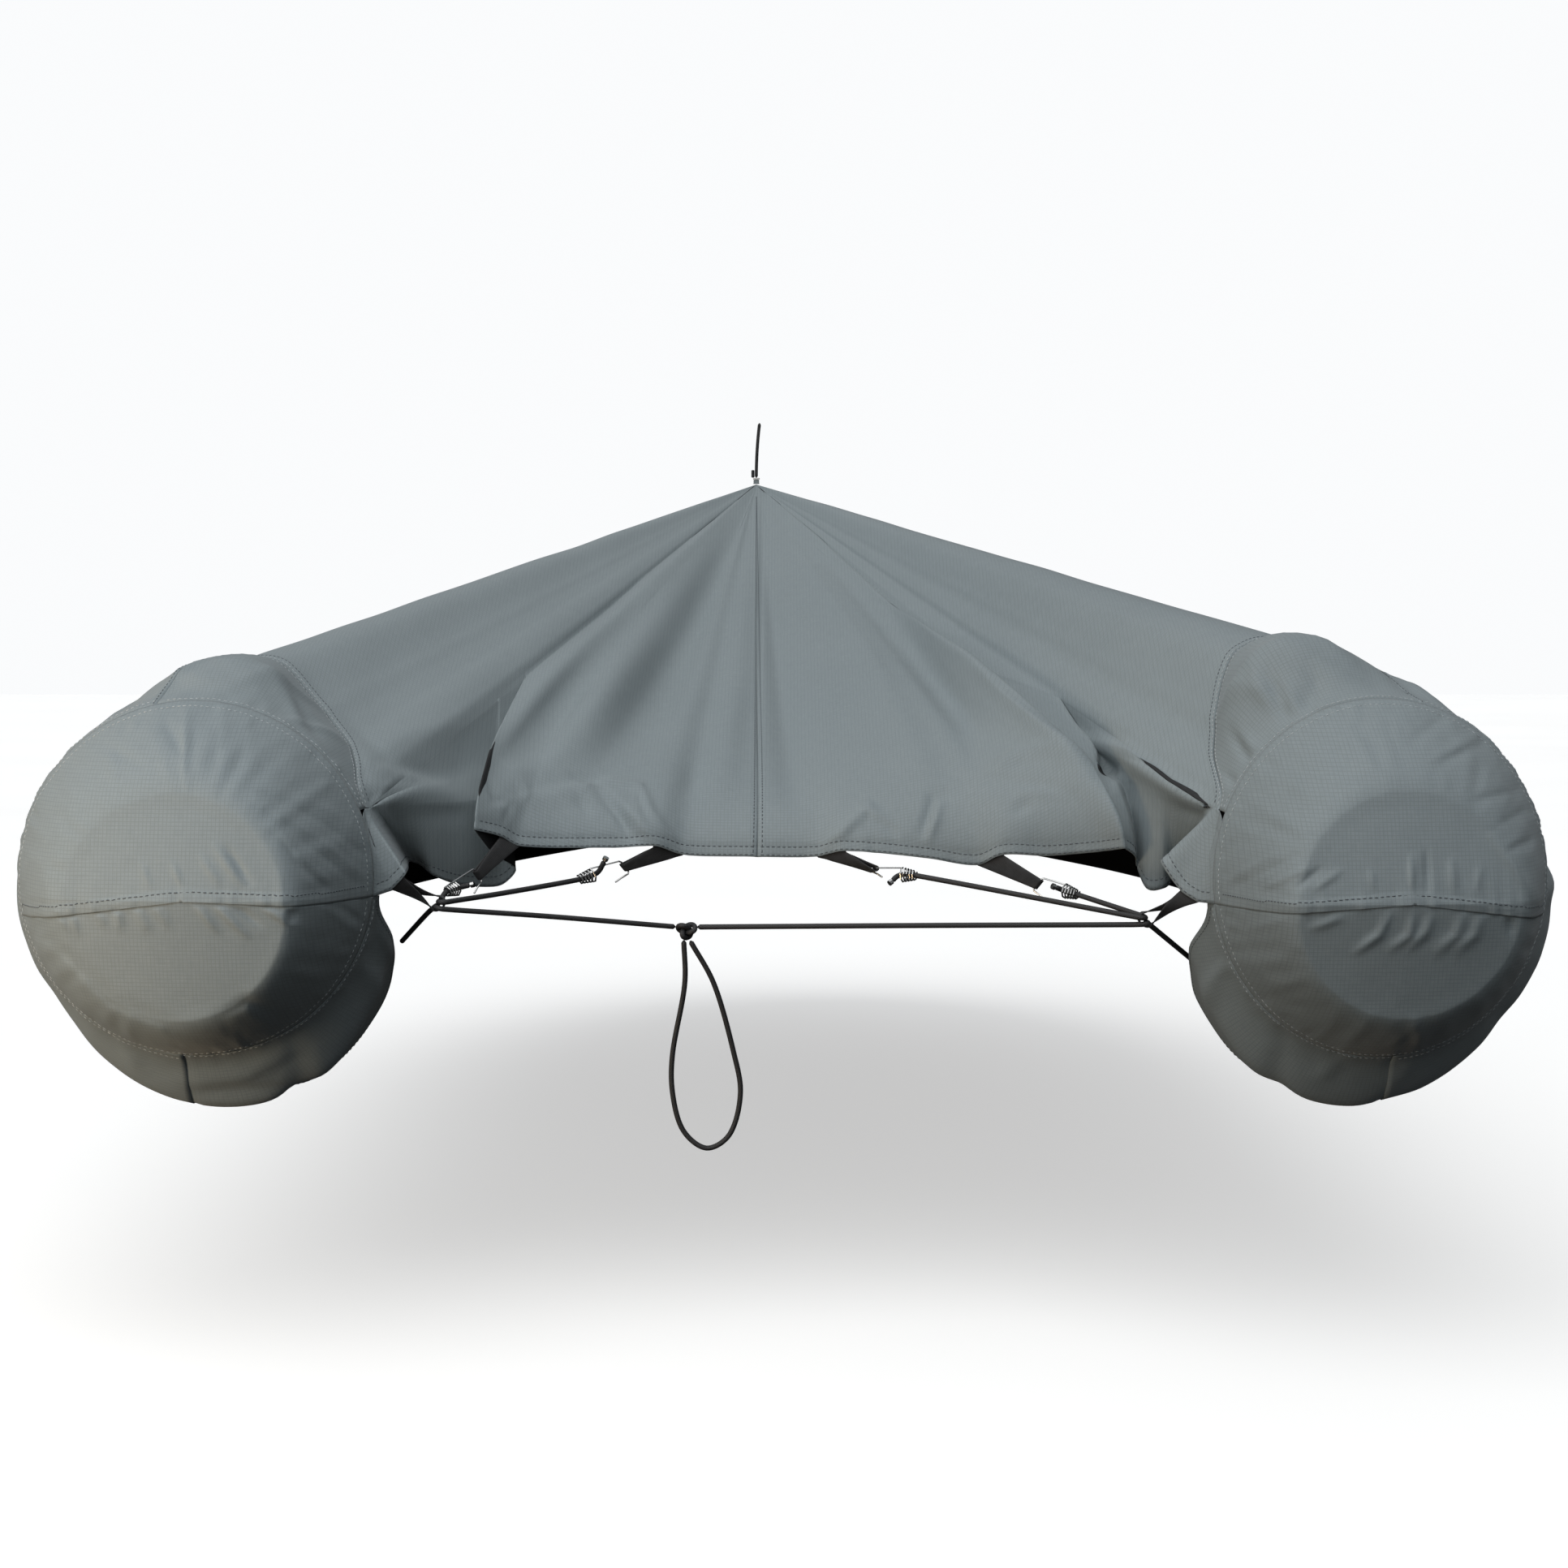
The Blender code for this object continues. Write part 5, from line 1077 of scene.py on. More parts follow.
    crossLine = crossLineOf(sock, cross, np.linspace(0.0, 1.0, topPlan["crossColumns"] + 1))
    spread = np.linspace(0.0, 1.0, topPlan["crestColumns"] + 1)[1:] ** 1.25
    stations = crestStart + (tubePlan["bowStation"] - crestStart) * spread
    feet = np.concatenate([
        tubeCloth(sock, crossLine[:, 0], crossLine[:, 1]), tubeCloth(sock, tubePlan["crestAngle"], stations),
    ])
    feet[-1, 0] = 0.0
    share = np.interp(upperRows, (0.0, 1.0, 2.0), (0.0, tautStart, 1.0))
    restGrid = peak + (feet[:, None] - peak) * share[None, :, None]
    restGrid[0] = tautLine
    return {"tail": tailGrid, "wedge": wedgeGrid, "hanging": hangingGrid, "rest": restGrid}


# Creases of the top, as seen from straight astern. Each is a line of points (millimetres across,
# millimetres over the middle of the view), height in millimetres (below zero a hollow), and how wide
# it is on its left and on its right. A crisp edge is narrow on one side
tailCreases = (
    (((-165, 70), (-218, 40), (-250, 15), (-272, -14)), -4.0, 4, 16),
    (((-272, -14), (-300, -57), (-308, -98)), 2.5, 12, 8),
    (((-146, 53), (-193, 6), (-230, -37), (-277, -92), (-299, -117)), -8.0, 15, 20),
    (((-132, 28), (-175, -23), (-241, -103), (-262, -132)), 4.0, 18, 18),
    (((-48, 126), (-74, 64), (-103, 13), (-146, -52), (-186, -110)), -7.0, 18, 26),
    (((-34, 118), (-41, -8), (-74, -153)), 3.0, 16, 16),
    (((-88, -103), (-96, -139)), -3.0, 12, 12),
    (((-280, -143), (-226, -132), (-175, -121), (-146, -128), (-135, -153), (-117, -175), (-103, -190)),
     5.0, 16, 5),
    (((-212, -117), (-180, -126), (-148, -134), (-140, -156)), -4.0, 4, 6),
    (((-190, -128), (-168, -152), (-154, -178)), -5.0, 6, 6),
    (((-214, -137), (-196, -150)), -3.0, 5, 6),
    (((-178, -134), (-150, -160), (-128, -186)), 4.5, 6, 7),
    (((-299, -118), (-292, -138), (-278, -146), (-284, -163)), -2.0, 4, 5),
    (((-268, -124), (-259, -142)), 3.0, 4, 8),
    (((49, 101), (105, 55), (136, 9), (177, -58), (202, -114)), -8.0, 13, 18),
    (((96, 12), (130, -48), (176, -118)), -4.0, 16, 18),
    (((182, 9), (222, -32), (289, -88), (319, -119), (355, -170)), 8.0, 22, 4),
    (((202, -114), (233, -94), (268, -88)), 4.5, 8, 6),
    (((240, -131), (290, -131)), 2.5, 5, 4),
    (((252, -141), (232, -152)), -3.0, 5, 5),
    (((44, -186), (85, -149), (105, -165)), 4.5, 5, 6),
    (((92, -158), (112, -172)), -3.0, 5, 5),
    (((141, -172), (151, -139), (166, -133)), -4.5, 5, 5),
    (((158, -140), (146, -180)), 3.5, 5, 5),
    (((215, -120), (262, -124), (292, -134)), -3.0, 6, 5),
)
shoulderCreases = (
    (((-430, -134), (-382, -131), (-312, -148)), 9.0, 16, 14),
    (((-398, -170), (-350, -160), (-318, -152)), -7.0, 10, 10),
    (((-414, -90), (-370, -72), (-330, -60)), 3.0, 12, 12),
    (((-440, -62), (-400, -98), (-352, -118)), -3.5, 6, 8),
    (((-448, -84), (-418, -108), (-380, -120)), 3.0, 5, 6),
    (((-432, -140), (-396, -172), (-350, -198)), 7.0, 8, 9),
    (((-420, -152), (-402, -186), (-380, -204)), -7.0, 5, 6),
    (((298, -76), (350, -92), (397, -127), (442, -154)), 10.0, 14, 8),
    (((312, -100), (338, -112)), -9.0, 9, 9),
    (((340, -112), (335, -134), (345, -165)), 6.0, 5, 8),
    (((352, -120), (352, -150)), -5.0, 6, 6),
    (((396, -148), (432, -160)), -6.0, 6, 8),
    (((438, -154), (414, -176), (385, -197)), 6.0, 8, 9),
    (((451, -70), (473, -104)), -4.0, 6, 6),
)
# Creases on the cloth just ahead of the round seams
tubeCreases = (
    (((473, 2), (479, -26), (498, -51)), 4.0, 7, 7), (((491, -14), (501, -42), (510, -60)), -5.0, 7, 7),
    (((504, -20), (519, -51)), 4.5, 8, 8), (((532, -7), (538, -26), (526, -48)), -4.5, 7, 7),
    (((563, 2), (586, -16), (606, -33)), -4.0, 5, 8), (((451, -70), (473, -104)), -4.0, 5, 5),
    (((461, -72), (482, -96)), 3.0, 5, 5), (((445, -113), (463, -129)), -3.0, 4, 5),
    (((-617, -428), (-595, -425), (-546, -419), (-497, -392)), 4.0, 6, 10),
    (((-606, -440), (-540, -436), (-491, -432)), -3.0, 6, 6), (((-669, -392), (-655, -414)), 3.0, 7, 7),
    (((-412, -266), (-400, -300)), 4.0, 5, 7), (((-640, 2), (-600, -16), (-560, -20)), 3.0, 8, 8),
    (((-520, -8), (-500, -40), (-480, -78)), 3.5, 7, 8),
    (((-500, -20), (-486, -52), (-470, -80)), -3.0, 6, 7),
    (((-476, -80), (-452, -130)), 3.0, 5, 6), (((-700, -40), (-660, -30)), -4.0, 7, 7),
    (((563, -402), (540, -425)), 3.0, 8, 8), (((640, -404), (610, -432)), 3.0, 9, 9),
)
# The last rows are ridges and grooves: distance from their line, width, height
topTexture = {
    "wave": 0.0011, "waveSize": 0.055, "waveLong": 0.20, "hemPucker": 0.0009, "puckerSize": 0.011,
    "puckerReach": 0.018, "calmAtNotch": 0.035, "middleSeam": -0.030,
    "seamGroove": (0.0, 0.0035, -0.0016), "hemLine": (0.0115, 0.0022, -0.0007),
    "crossGroove": (0.0, 0.003, -0.0010), "crossWelt": (0.007, 0.005, 0.0009),
}
hemRows = (0.0115, 0.0022)
crossRows = (("pale", 0.0045), ("dark", 0.0105))


def creaseLift(creases, x, z):
    total = np.zeros_like(x)
    for line, height, wideLeft, wideRight in creases:
        line = np.array(line, float) / 1000.0
        steps = np.linalg.norm(np.diff(line, axis=0), axis=1)
        ends = np.concatenate([[0.0], np.cumsum(steps)])
        best = np.full(x.shape, 1e9)
        sideOff = np.zeros_like(x)
        share = np.zeros_like(x)
        for k in range(len(steps)):
            way = (line[k + 1] - line[k]) / steps[k]
            px, pz = x - line[k, 0], z - line[k, 1]
            t = np.clip(px * way[0] + pz * way[1], 0.0, steps[k])
            offX, offZ = px - way[0] * t, pz - way[1] * t
            away = np.hypot(offX, offZ)
            nearer = away < best
            best = np.where(nearer, away, best)
            sideOff = np.where(nearer, way[0] * pz - way[1] * px, sideOff)
            share = np.where(nearer, (ends[k] + t) / ends[-1], share)
        wide = np.where(sideOff > 0.0, wideRight, wideLeft) / 1000.0
        taper = np.sin(math.pi * np.clip(0.08 + 0.84 * share, 0.0, 1.0)) ** 0.8
        total = total + height / 1000.0 * taper * np.exp(-(best / wide) ** 2)
    return total


def astern(points):
    # Where a point shows from straight astern, as metres at the middle distance of the stern
    depth = 2.8 / (2.8 + points[..., 1])
    return points[..., 0] * depth, (points[..., 2] - 0.228) * depth


clothSizes = {"thick": 0.0009, "proud": 0.0003}


class Weld:
    # Joins grids of points into one mesh where their points coincide

    def __init__(self):
        self.points, self.maps, self.grids, self.lifts = [], [], [], []
        self.count = 0

    def add(self, grid, mapped, lift):
        count = grid.shape[0] * grid.shape[1]
        self.grids.append(np.arange(self.count, self.count + count).reshape(grid.shape[:2]))
        self.count += count
        self.points.append(grid.reshape(-1, 3))
        self.maps.append(mapped.reshape(-1, 2))
        self.lifts.append(lift.reshape(-1))

    def join(self, flip):
        points = np.concatenate(self.points)
        _, first, inverse = np.unique(np.round(points, 7), axis=0, return_index=True, return_inverse=True)
        inverse = inverse.ravel()
        lift = np.zeros(len(first))
        hits = np.zeros(len(first))
        np.add.at(lift, inverse, np.concatenate(self.lifts))
        np.add.at(hits, inverse, 1.0)
        maps = np.concatenate(self.maps)
        faces, corners = [], []
        for grid in self.grids:
            ring = gridFaces(grid)
            if flip:
                ring = ring[:, ::-1]
            faces.append(inverse[ring])
            corners.append(maps[ring])
        self.ids = [inverse[grid] for grid in self.grids]
        self.placed = points[first]
        self.faces, self.corners = np.concatenate(faces), np.concatenate(corners)
        self.height = lift / hits
        self.normals = vertexNormals(self.placed, self.faces)

    def clothPiece(self, name, node, flip, toMiddle=False):
        # The joined cloth as a piece, its inner side painted near black as painted shade. Also its points and
        # normals by grid
        self.join(flip)
        points = self.placed + self.normals * (self.height + clothSizes["proud"])[:, None]
        if toMiddle:
            points[self.placed[:, 0] == 0.0, 0] = 0.0     # both halves meet at the bow
        mesh = newMesh(name, inFrame(points), self.faces, self.corners, [coverCloth, coverInsidePaintedShade])
        piece = addPiece(name, mesh, node)
        solid = piece.modifiers.new("Thickness", "SOLIDIFY")
        solid.thickness = clothSizes["thick"]
        solid.offset = -1.0
        solid.material_offset = 1
        normals = vertexNormals(points, self.faces)
        return piece, [points[ids] for ids in self.ids], [normals[ids] for ids in self.ids]


def alongColumns(grid):
    steps = np.linalg.norm(np.diff(grid, axis=1), axis=2)
    return np.concatenate([np.zeros((grid.shape[0], 1)), np.cumsum(steps, axis=1)], axis=1)


def clothMapOf(grid, across=None):
    down = alongColumns(grid)
    side = grid[..., 0] if across is None else across
    return np.stack([side, down], axis=-1)


stitchPaths = []     # (thread, points, normals) gathered while the panels are made


def keepStitches(kind, points, normals):
    stitchPaths.append((kind, np.asarray(points), np.asarray(normals)))


def rowAtDistance(points, normals, distance):
    # Points at a distance up from the foot of each column, with their normals
    down = alongColumns(points)
    spots, ways = [], []
    for k in range(len(points)):
        length = down[k, -1] - distance
        spots.append([np.interp(length, down[k], points[k, :, c]) for c in range(3)])
        ways.append([np.interp(length, down[k], normals[k, :, c]) for c in range(3)])
    return np.array(spots), unit(np.array(ways))


def stitchFoot(kind, points, normals, distance):
    keepStitches(kind, *rowAtDistance(points, normals, distance))


def stitchHead(kind, points, normals, distance):
    stitchFoot(kind, points[:, ::-1], normals[:, ::-1], distance)


def topLift(label, grid, sock):
    # What stands off the plain runs of cloth: soft waves, creases, puckers, seam and hem lines
    x, z = astern(grid)
    down = alongColumns(grid)
    fromFoot = down[:, -1:] - down
    lift = softNoise(grid[..., 0] / topTexture["waveSize"], down / topTexture["waveLong"], sock["seed"] + 4)
    lift = topTexture["wave"] * lift * smooth(down / 0.25)
    if label == "rest":
        shoulder = creaseLift(shoulderCreases, x, z) * (x * sock["side"] > 0.2)
        lift = lift * smooth(fromFoot / 0.05) + shoulder * smooth(fromFoot / 0.03)
        lift = lift + ridge(fromFoot, *topTexture["crossGroove"]) + ridge(fromFoot, *topTexture["crossWelt"])
    elif label == "tail":
        fromSeam = np.abs(grid[..., 0] - topTexture["middleSeam"])
        slant = grid[..., 2] + grid[..., 1] * 0.6
        pucker = softNoise(grid[..., 0] / topTexture["puckerSize"], slant / 0.05, sock["seed"] + 5)
        lift = lift + creaseLift(tailCreases, x, z) + ridge(fromSeam, *topTexture["seamGroove"])
        lift = lift + topTexture["hemPucker"] * pucker * np.exp(-fromFoot / topTexture["puckerReach"])
        lift = lift + ridge(fromFoot, *topTexture["hemLine"])
    elif label == "hanging":
        lift = lift * 0.5 + creaseLift(shoulderCreases, x, z) * smooth(2.0 - 12.0 * (0.22 - fromFoot))
        lift = lift + ridge(fromFoot, *topTexture["hemLine"])
    # the fan of folds at the notch stays as it falls
    notch = tubeCloth(sock, sock["notchAngle"], tubePlan["notchForward"])
    return lift * smooth(np.linalg.norm(grid - notch, axis=-1) / topTexture["calmAtNotch"] - 0.2)


def makeTop(sock, tail, hanging, cross, tautStart):
    weld = Weld()
    for label, grid in topGrids(sock, tail, hanging, cross, tautStart).items():
        if len(grid) > 1:
            weld.add(grid, clothMapOf(grid), topLift(label, grid, sock))
    name, node = "coverTop" + sock["name"].capitalize(), "top_" + sock["name"]
    piece, points, normals = weld.clothPiece(name, node, flip=sock["side"] < 0, toMiddle=True)
    tailPoints, tailNormals = points[0], normals[0]
    keepStitches("dark", tailPoints[2][4:], tailNormals[2][4:])
    for part, first in ((0, 0), (-2, 1)):
        for distance in hemRows:
            stitchFoot("dark", points[part][first:], normals[part][first:], distance)
    for kind, distance in crossRows:
        stitchFoot(kind, points[-1], normals[-1], distance)
    return piece


topLeft = makeTop(leftSock, leftTail, leftHanging, leftCross, 0.66)
topRight = makeTop(rightSock, rightTail, rightHanging, rightCross, 0.72)
print("top made")


def panelPiece(name, node, sock, grid, turned=False, across=None, flat=False):
    # Creases of the tube's cloth start at the round seam and fade out forward
    forward = grid[..., 1]
    lift = creaseLift(tubeCreases, *astern(grid))
    lift = lift * smooth((forward - 0.119) / 0.012) * smooth((0.42 - forward) / 0.12)
    weld = Weld()
    weld.add(grid, grid[..., (0, 2)] if flat else clothMapOf(grid, across), lift)
    name, node = name + sock["name"].capitalize(), node + "_" + sock["name"]
    piece, points, normals = weld.clothPiece(name, node, flip=(sock["side"] < 0) != turned)
    return piece, points[0], normals[0]


gorePlan = {"columns": 61, "rows": 29, "bendFrom": 0.7, "bendOver": 0.3, "footStitch": 0.0045,
            "headStitch": 0.005}


def makeGore(sock, cross):
    share = np.linspace(0.0, 1.0, gorePlan["columns"])
    far = crossLineOf(sock, cross, share)
    near = sock["notchAngle"] + (tubePlan["crestStart"] - sock["notchAngle"]) * share
    t = np.linspace(0.0, 1.0, gorePlan["rows"])
    forward = tubePlan["seamForward"] + (far[:, 1:] - tubePlan["seamForward"]) * t
    angle = near[:, None] + (far[:, :1] - near[:, None]) * t
    bend = smooth((share - gorePlan["bendFrom"]) / gorePlan["bendOver"])[:, None]
    angle = angle * (1.0 - bend) + crestAngle(forward) * bend
    piece, points, normals = panelPiece("goreEnd", "gore", sock, tubeCloth(sock, angle, forward), turned=True,
                                        across=np.radians(angle) * tubePlan["mapReach"])
    stitchFoot("pale", points, normals, gorePlan["footStitch"])
    stitchHead("pale", points, normals, gorePlan["headStitch"])
    return piece


sideStations = np.concatenate([
    np.linspace(tubePlan["seamForward"], crestStart, 42)[:-1],
    crestStart + (tubePlan["bowStation"] - crestStart) * np.linspace(0.0, 1.0, 76) ** 1.2,
])


def makeSide(sock):
    stations = sideStations[:, None]
    top, foot = crestAngle(stations), skirtFoot(stations)
    angle = top + (foot - top) * np.linspace(0.0, 1.0, 100)
    grid = tubeCloth(sock, angle, stations)
    grid[-1, :, 0] = 0.0
    piece, points, normals = panelPiece("side", "side", sock, grid, across=np.repeat(stations, 100, 1))
    keepStitches("pale", points[2], normals[2])
    hem = slice(60, None)     # the hem starts where the inner wrap ends
    stitchFoot("dark", points[hem], normals[hem], 0.012)
    stitchHead("dark", points, normals, 0.005)
    return piece


# The inner wrap is short beside the notch and long below. Its last degrees pass inside the side panel
wrapSizes = {"short": 0.135, "long": 0.300, "growsOver": 34.0, "tucked": 2.5, "tuckDeep": 0.0016}


def makeUnder(sock):
    angles = np.linspace(sock["levelIn"], tubePlan["underAngle"] + wrapSizes["tucked"], 56)[:, None]
    grown = smooth((angles - sock["levelIn"]) / wrapSizes["growsOver"])
    reach = wrapSizes["long"] - (wrapSizes["long"] - wrapSizes["short"]) * (1.0 - grown)
    station = tubePlan["seamForward"] + (reach - tubePlan["seamForward"]) * np.linspace(0.0, 1.0, 40)
    grid = tubeCloth(sock, angles, station)
    tuck = smooth((angles - tubePlan["underAngle"] + 2.0) / 2.0)[..., None] * wrapSizes["tuckDeep"]
    grid = grid + unit(tubeAxis(sock, station)[0] - grid) * tuck
    piece, points, normals = panelPiece("under", "under", sock, grid,
                                        across=np.repeat(np.radians(angles) * tubePlan["mapReach"], 40, 1))
    stitchFoot("dark", points, normals, 0.012)
    stitchHead("pale", points, normals, 0.005)
    return piece


endRows = np.concatenate([np.linspace(0.0, 0.86, 34)[:-1], np.linspace(0.86, 1.10, 14)[:-1],
                          np.linspace(1.10, 2.0, 44)])


def lapStitches(points, normals, past, columns):
    # The row along the lapped seam: in each ring of points, the first that is past the lap
    line, ways = [], []
    for ring in range(points.shape[1] - 3):
        clear = [column for column in columns if past[column, ring]]
        if clear:
            line.append(points[clear[0], ring])
            ways.append(normals[clear[0], ring])
    return np.array(line), np.array(ways)


def makeEnd(sock, label):
    levelOut, levelIn = sock["levelOut"], sock["levelIn"]
    if label == "Upper":
        angles = np.linspace(levelOut, levelIn, 250)
    else:
        angles = np.linspace(levelIn, levelOut + 360.0, 210)
    grid = tubeEnd(sock, angles[:, None], endRows[None, :])
    # distance from the level seam, square to it as seen from astern
    flatten = np.array((1.0, 0.0, 1.0))
    off = (grid - grid[0, 0]) * flatten
    fromHub = np.linalg.norm(off, axis=-1)
    away = np.full(grid.shape[:2], 1e9)
    for column in (0, -1):
        way = unit(off[column, -1])
        ahead = off @ way
        square = np.linalg.norm(off - ahead[..., None] * way, axis=-1)
        away = np.minimum(away, np.where(ahead > 0.0, square, fromHub))
    lap = endSizes["lap"]
    if label == "Upper":
        gather = softNoise(grid[..., 0] / endSizes["gatherSize"], grid[..., 0] * 0.0, sock["seed"] + 6)
        lift = endSizes["lapHigh"] * (1.0 - smooth((away - lap) / 0.004))
        lift = lift + endSizes["gather"] * gather * np.exp(-away / 0.018)
        lift = lift + ridge(away, lap, 0.0022, -endSizes["lapGroove"])
    else:
        lift = -endSizes["lapGroove"] * np.exp(-away / 0.003)
    lift = lift + creaseLift(endCreases, *astern(grid)) * smooth(away / 0.006)
    grid[..., 1] -= lift * smooth((2.0 - endRows) / 0.05)
    piece, points, normals = panelPiece("end" + label, "end_" + label.lower(), sock, grid, flat=True)
    ring = len(endRows) - 4
    keepStitches("pale", points[:, ring], normals[:, ring])
    if label == "Upper":
        past = (away >= lap) & (fromHub > endSizes["lapClear"] * lap)
        half = len(angles) // 2
        outer = lapStitches(points, normals, past, range(half))
        inner = lapStitches(points, normals, past, range(len(angles) - 1, half, -1))
        keepStitches("dark", *(np.concatenate([one[::-1], two]) for one, two in zip(outer, inner)))
    return piece


for sock, cross in ((leftSock, leftCross), (rightSock, rightCross)):
    makeGore(sock, cross)
    makeSide(sock)
    makeUnder(sock)
    makeEnd(sock, "Upper")
    makeEnd(sock, "Lower")
print("tube panels made")


# Each stitch is a short tapered thread
stitchSizes = {"pitch": 0.0060, "long": 0.0042, "thick": 0.00055, "proud": 0.00015}


def makeStitches(kind, material):
    points, faces = [], []
    shape = ((-0.5, 0.0), (-0.32, 1.0), (0.32, 1.0), (0.5, 0.0))
    for found, path, normals in stitchPaths:
        if found != kind or len(path) < 3:
            continue
        steps = np.linalg.norm(np.diff(path, axis=0), axis=1)
        lengths = np.concatenate([[0.0], np.cumsum(steps)])
        at = np.arange(stitchSizes["pitch"], lengths[-1] - stitchSizes["pitch"], stitchSizes["pitch"])
        half = stitchSizes["long"] / 2
        middle, before, after, up = (
            np.stack([np.interp(spot, lengths, values[:, c]) for c in range(3)], axis=1)
            for spot, values in ((at, path), (at - half, path), (at + half, path), (at, normals))
        )
        way = unit(after - before)
        up = unit(up - way * (up * way).sum(1, keepdims=True))
        level = np.cross(way, up)
        middle = (before + after) / 2 * 0.5 + middle * 0.5 + up * stitchSizes["proud"]
        for k in range(len(at)):
            base = len(points)
            points.append(middle[k] + way[k] * (shape[0][0] * stitchSizes["long"]) - up[k] * 0.0003)
            for share, thick in shape[1:3]:
                centre = middle[k] + way[k] * (share * stitchSizes["long"])
                for across, high in ((-1.0, 0.0), (0.0, 0.8), (1.0, 0.0), (0.0, -0.8)):
                    reach = stitchSizes["thick"] * thick
                    points.append(centre + (level[k] * across + up[k] * high) * reach)
            points.append(middle[k] + way[k] * (shape[3][0] * stitchSizes["long"]) - up[k] * 0.0003)
            for c in range(4):
                n = (c + 1) % 4
                faces.append((base, base + 1 + n, base + 1 + c, base + 1 + c))
                faces.append((base + 1 + c, base + 1 + n, base + 5 + n, base + 5 + c))
                faces.append((base + 5 + c, base + 5 + n, base + 9, base + 9))
    faces = np.array(faces)
    maps = np.zeros((len(faces), 4, 2))
    name = kind + "Stitching"
    mesh = newMesh(name, inFrame(np.array(points)), faces, maps, [material])
    return addPiece(name, mesh)


makeStitches("dark", darkThread)
makeStitches("pale", paleThread)
print("stitching made:", len(stitchPaths), "rows")


# The webbing loops are ribbed across their width
webSizes = {
    "wide": 0.019, "thick": 0.0015, "apart": 0.0004, "belly": 0.0010, "tuck": 0.007, "wireRoom": 0.0046,
    "cordRoom": 0.0148, "ribEvery": 0.00155, "ribHigh": 0.00022, "cloth": 0.0015,
}
# Rows: name, node, tail, its two rows, the ends of its width at the far end, room inside
loopRows = (
    ("loopOne", "loop_1", leftHanging, 10, 11,
     (-0.3668, 0.1120, -0.0268), (-0.3668, 0.1280, -0.0268), "cordRoom"),
    ("loopTwo", "loop_2", leftTail, 5, 4,
     (-0.3340, 0.1910, 0.0022), (-0.3283, 0.1950, -0.0068), "wireRoom"),
    ("loopThree", "loop_3", leftTail, 2, 1,
     (-0.1780, 0.2455, 0.0056), (-0.1724, 0.2490, -0.0018), "wireRoom"),
    ("loopFour", "loop_4", rightTail, 2, 1,
     (0.1012, 0.2440, 0.0005), (0.0962, 0.2540, -0.0017), "wireRoom"),
    ("loopFive", "loop_5", rightTail, 5, 4,
     (0.2814, 0.2286, -0.0106), (0.2741, 0.2314, -0.0202), "wireRoom"),
    ("loopSix", "loop_6", rightHanging, 9, 10,
     (0.3864, 0.1370, -0.0463), (0.3864, 0.1530, -0.0463), "cordRoom"),
)


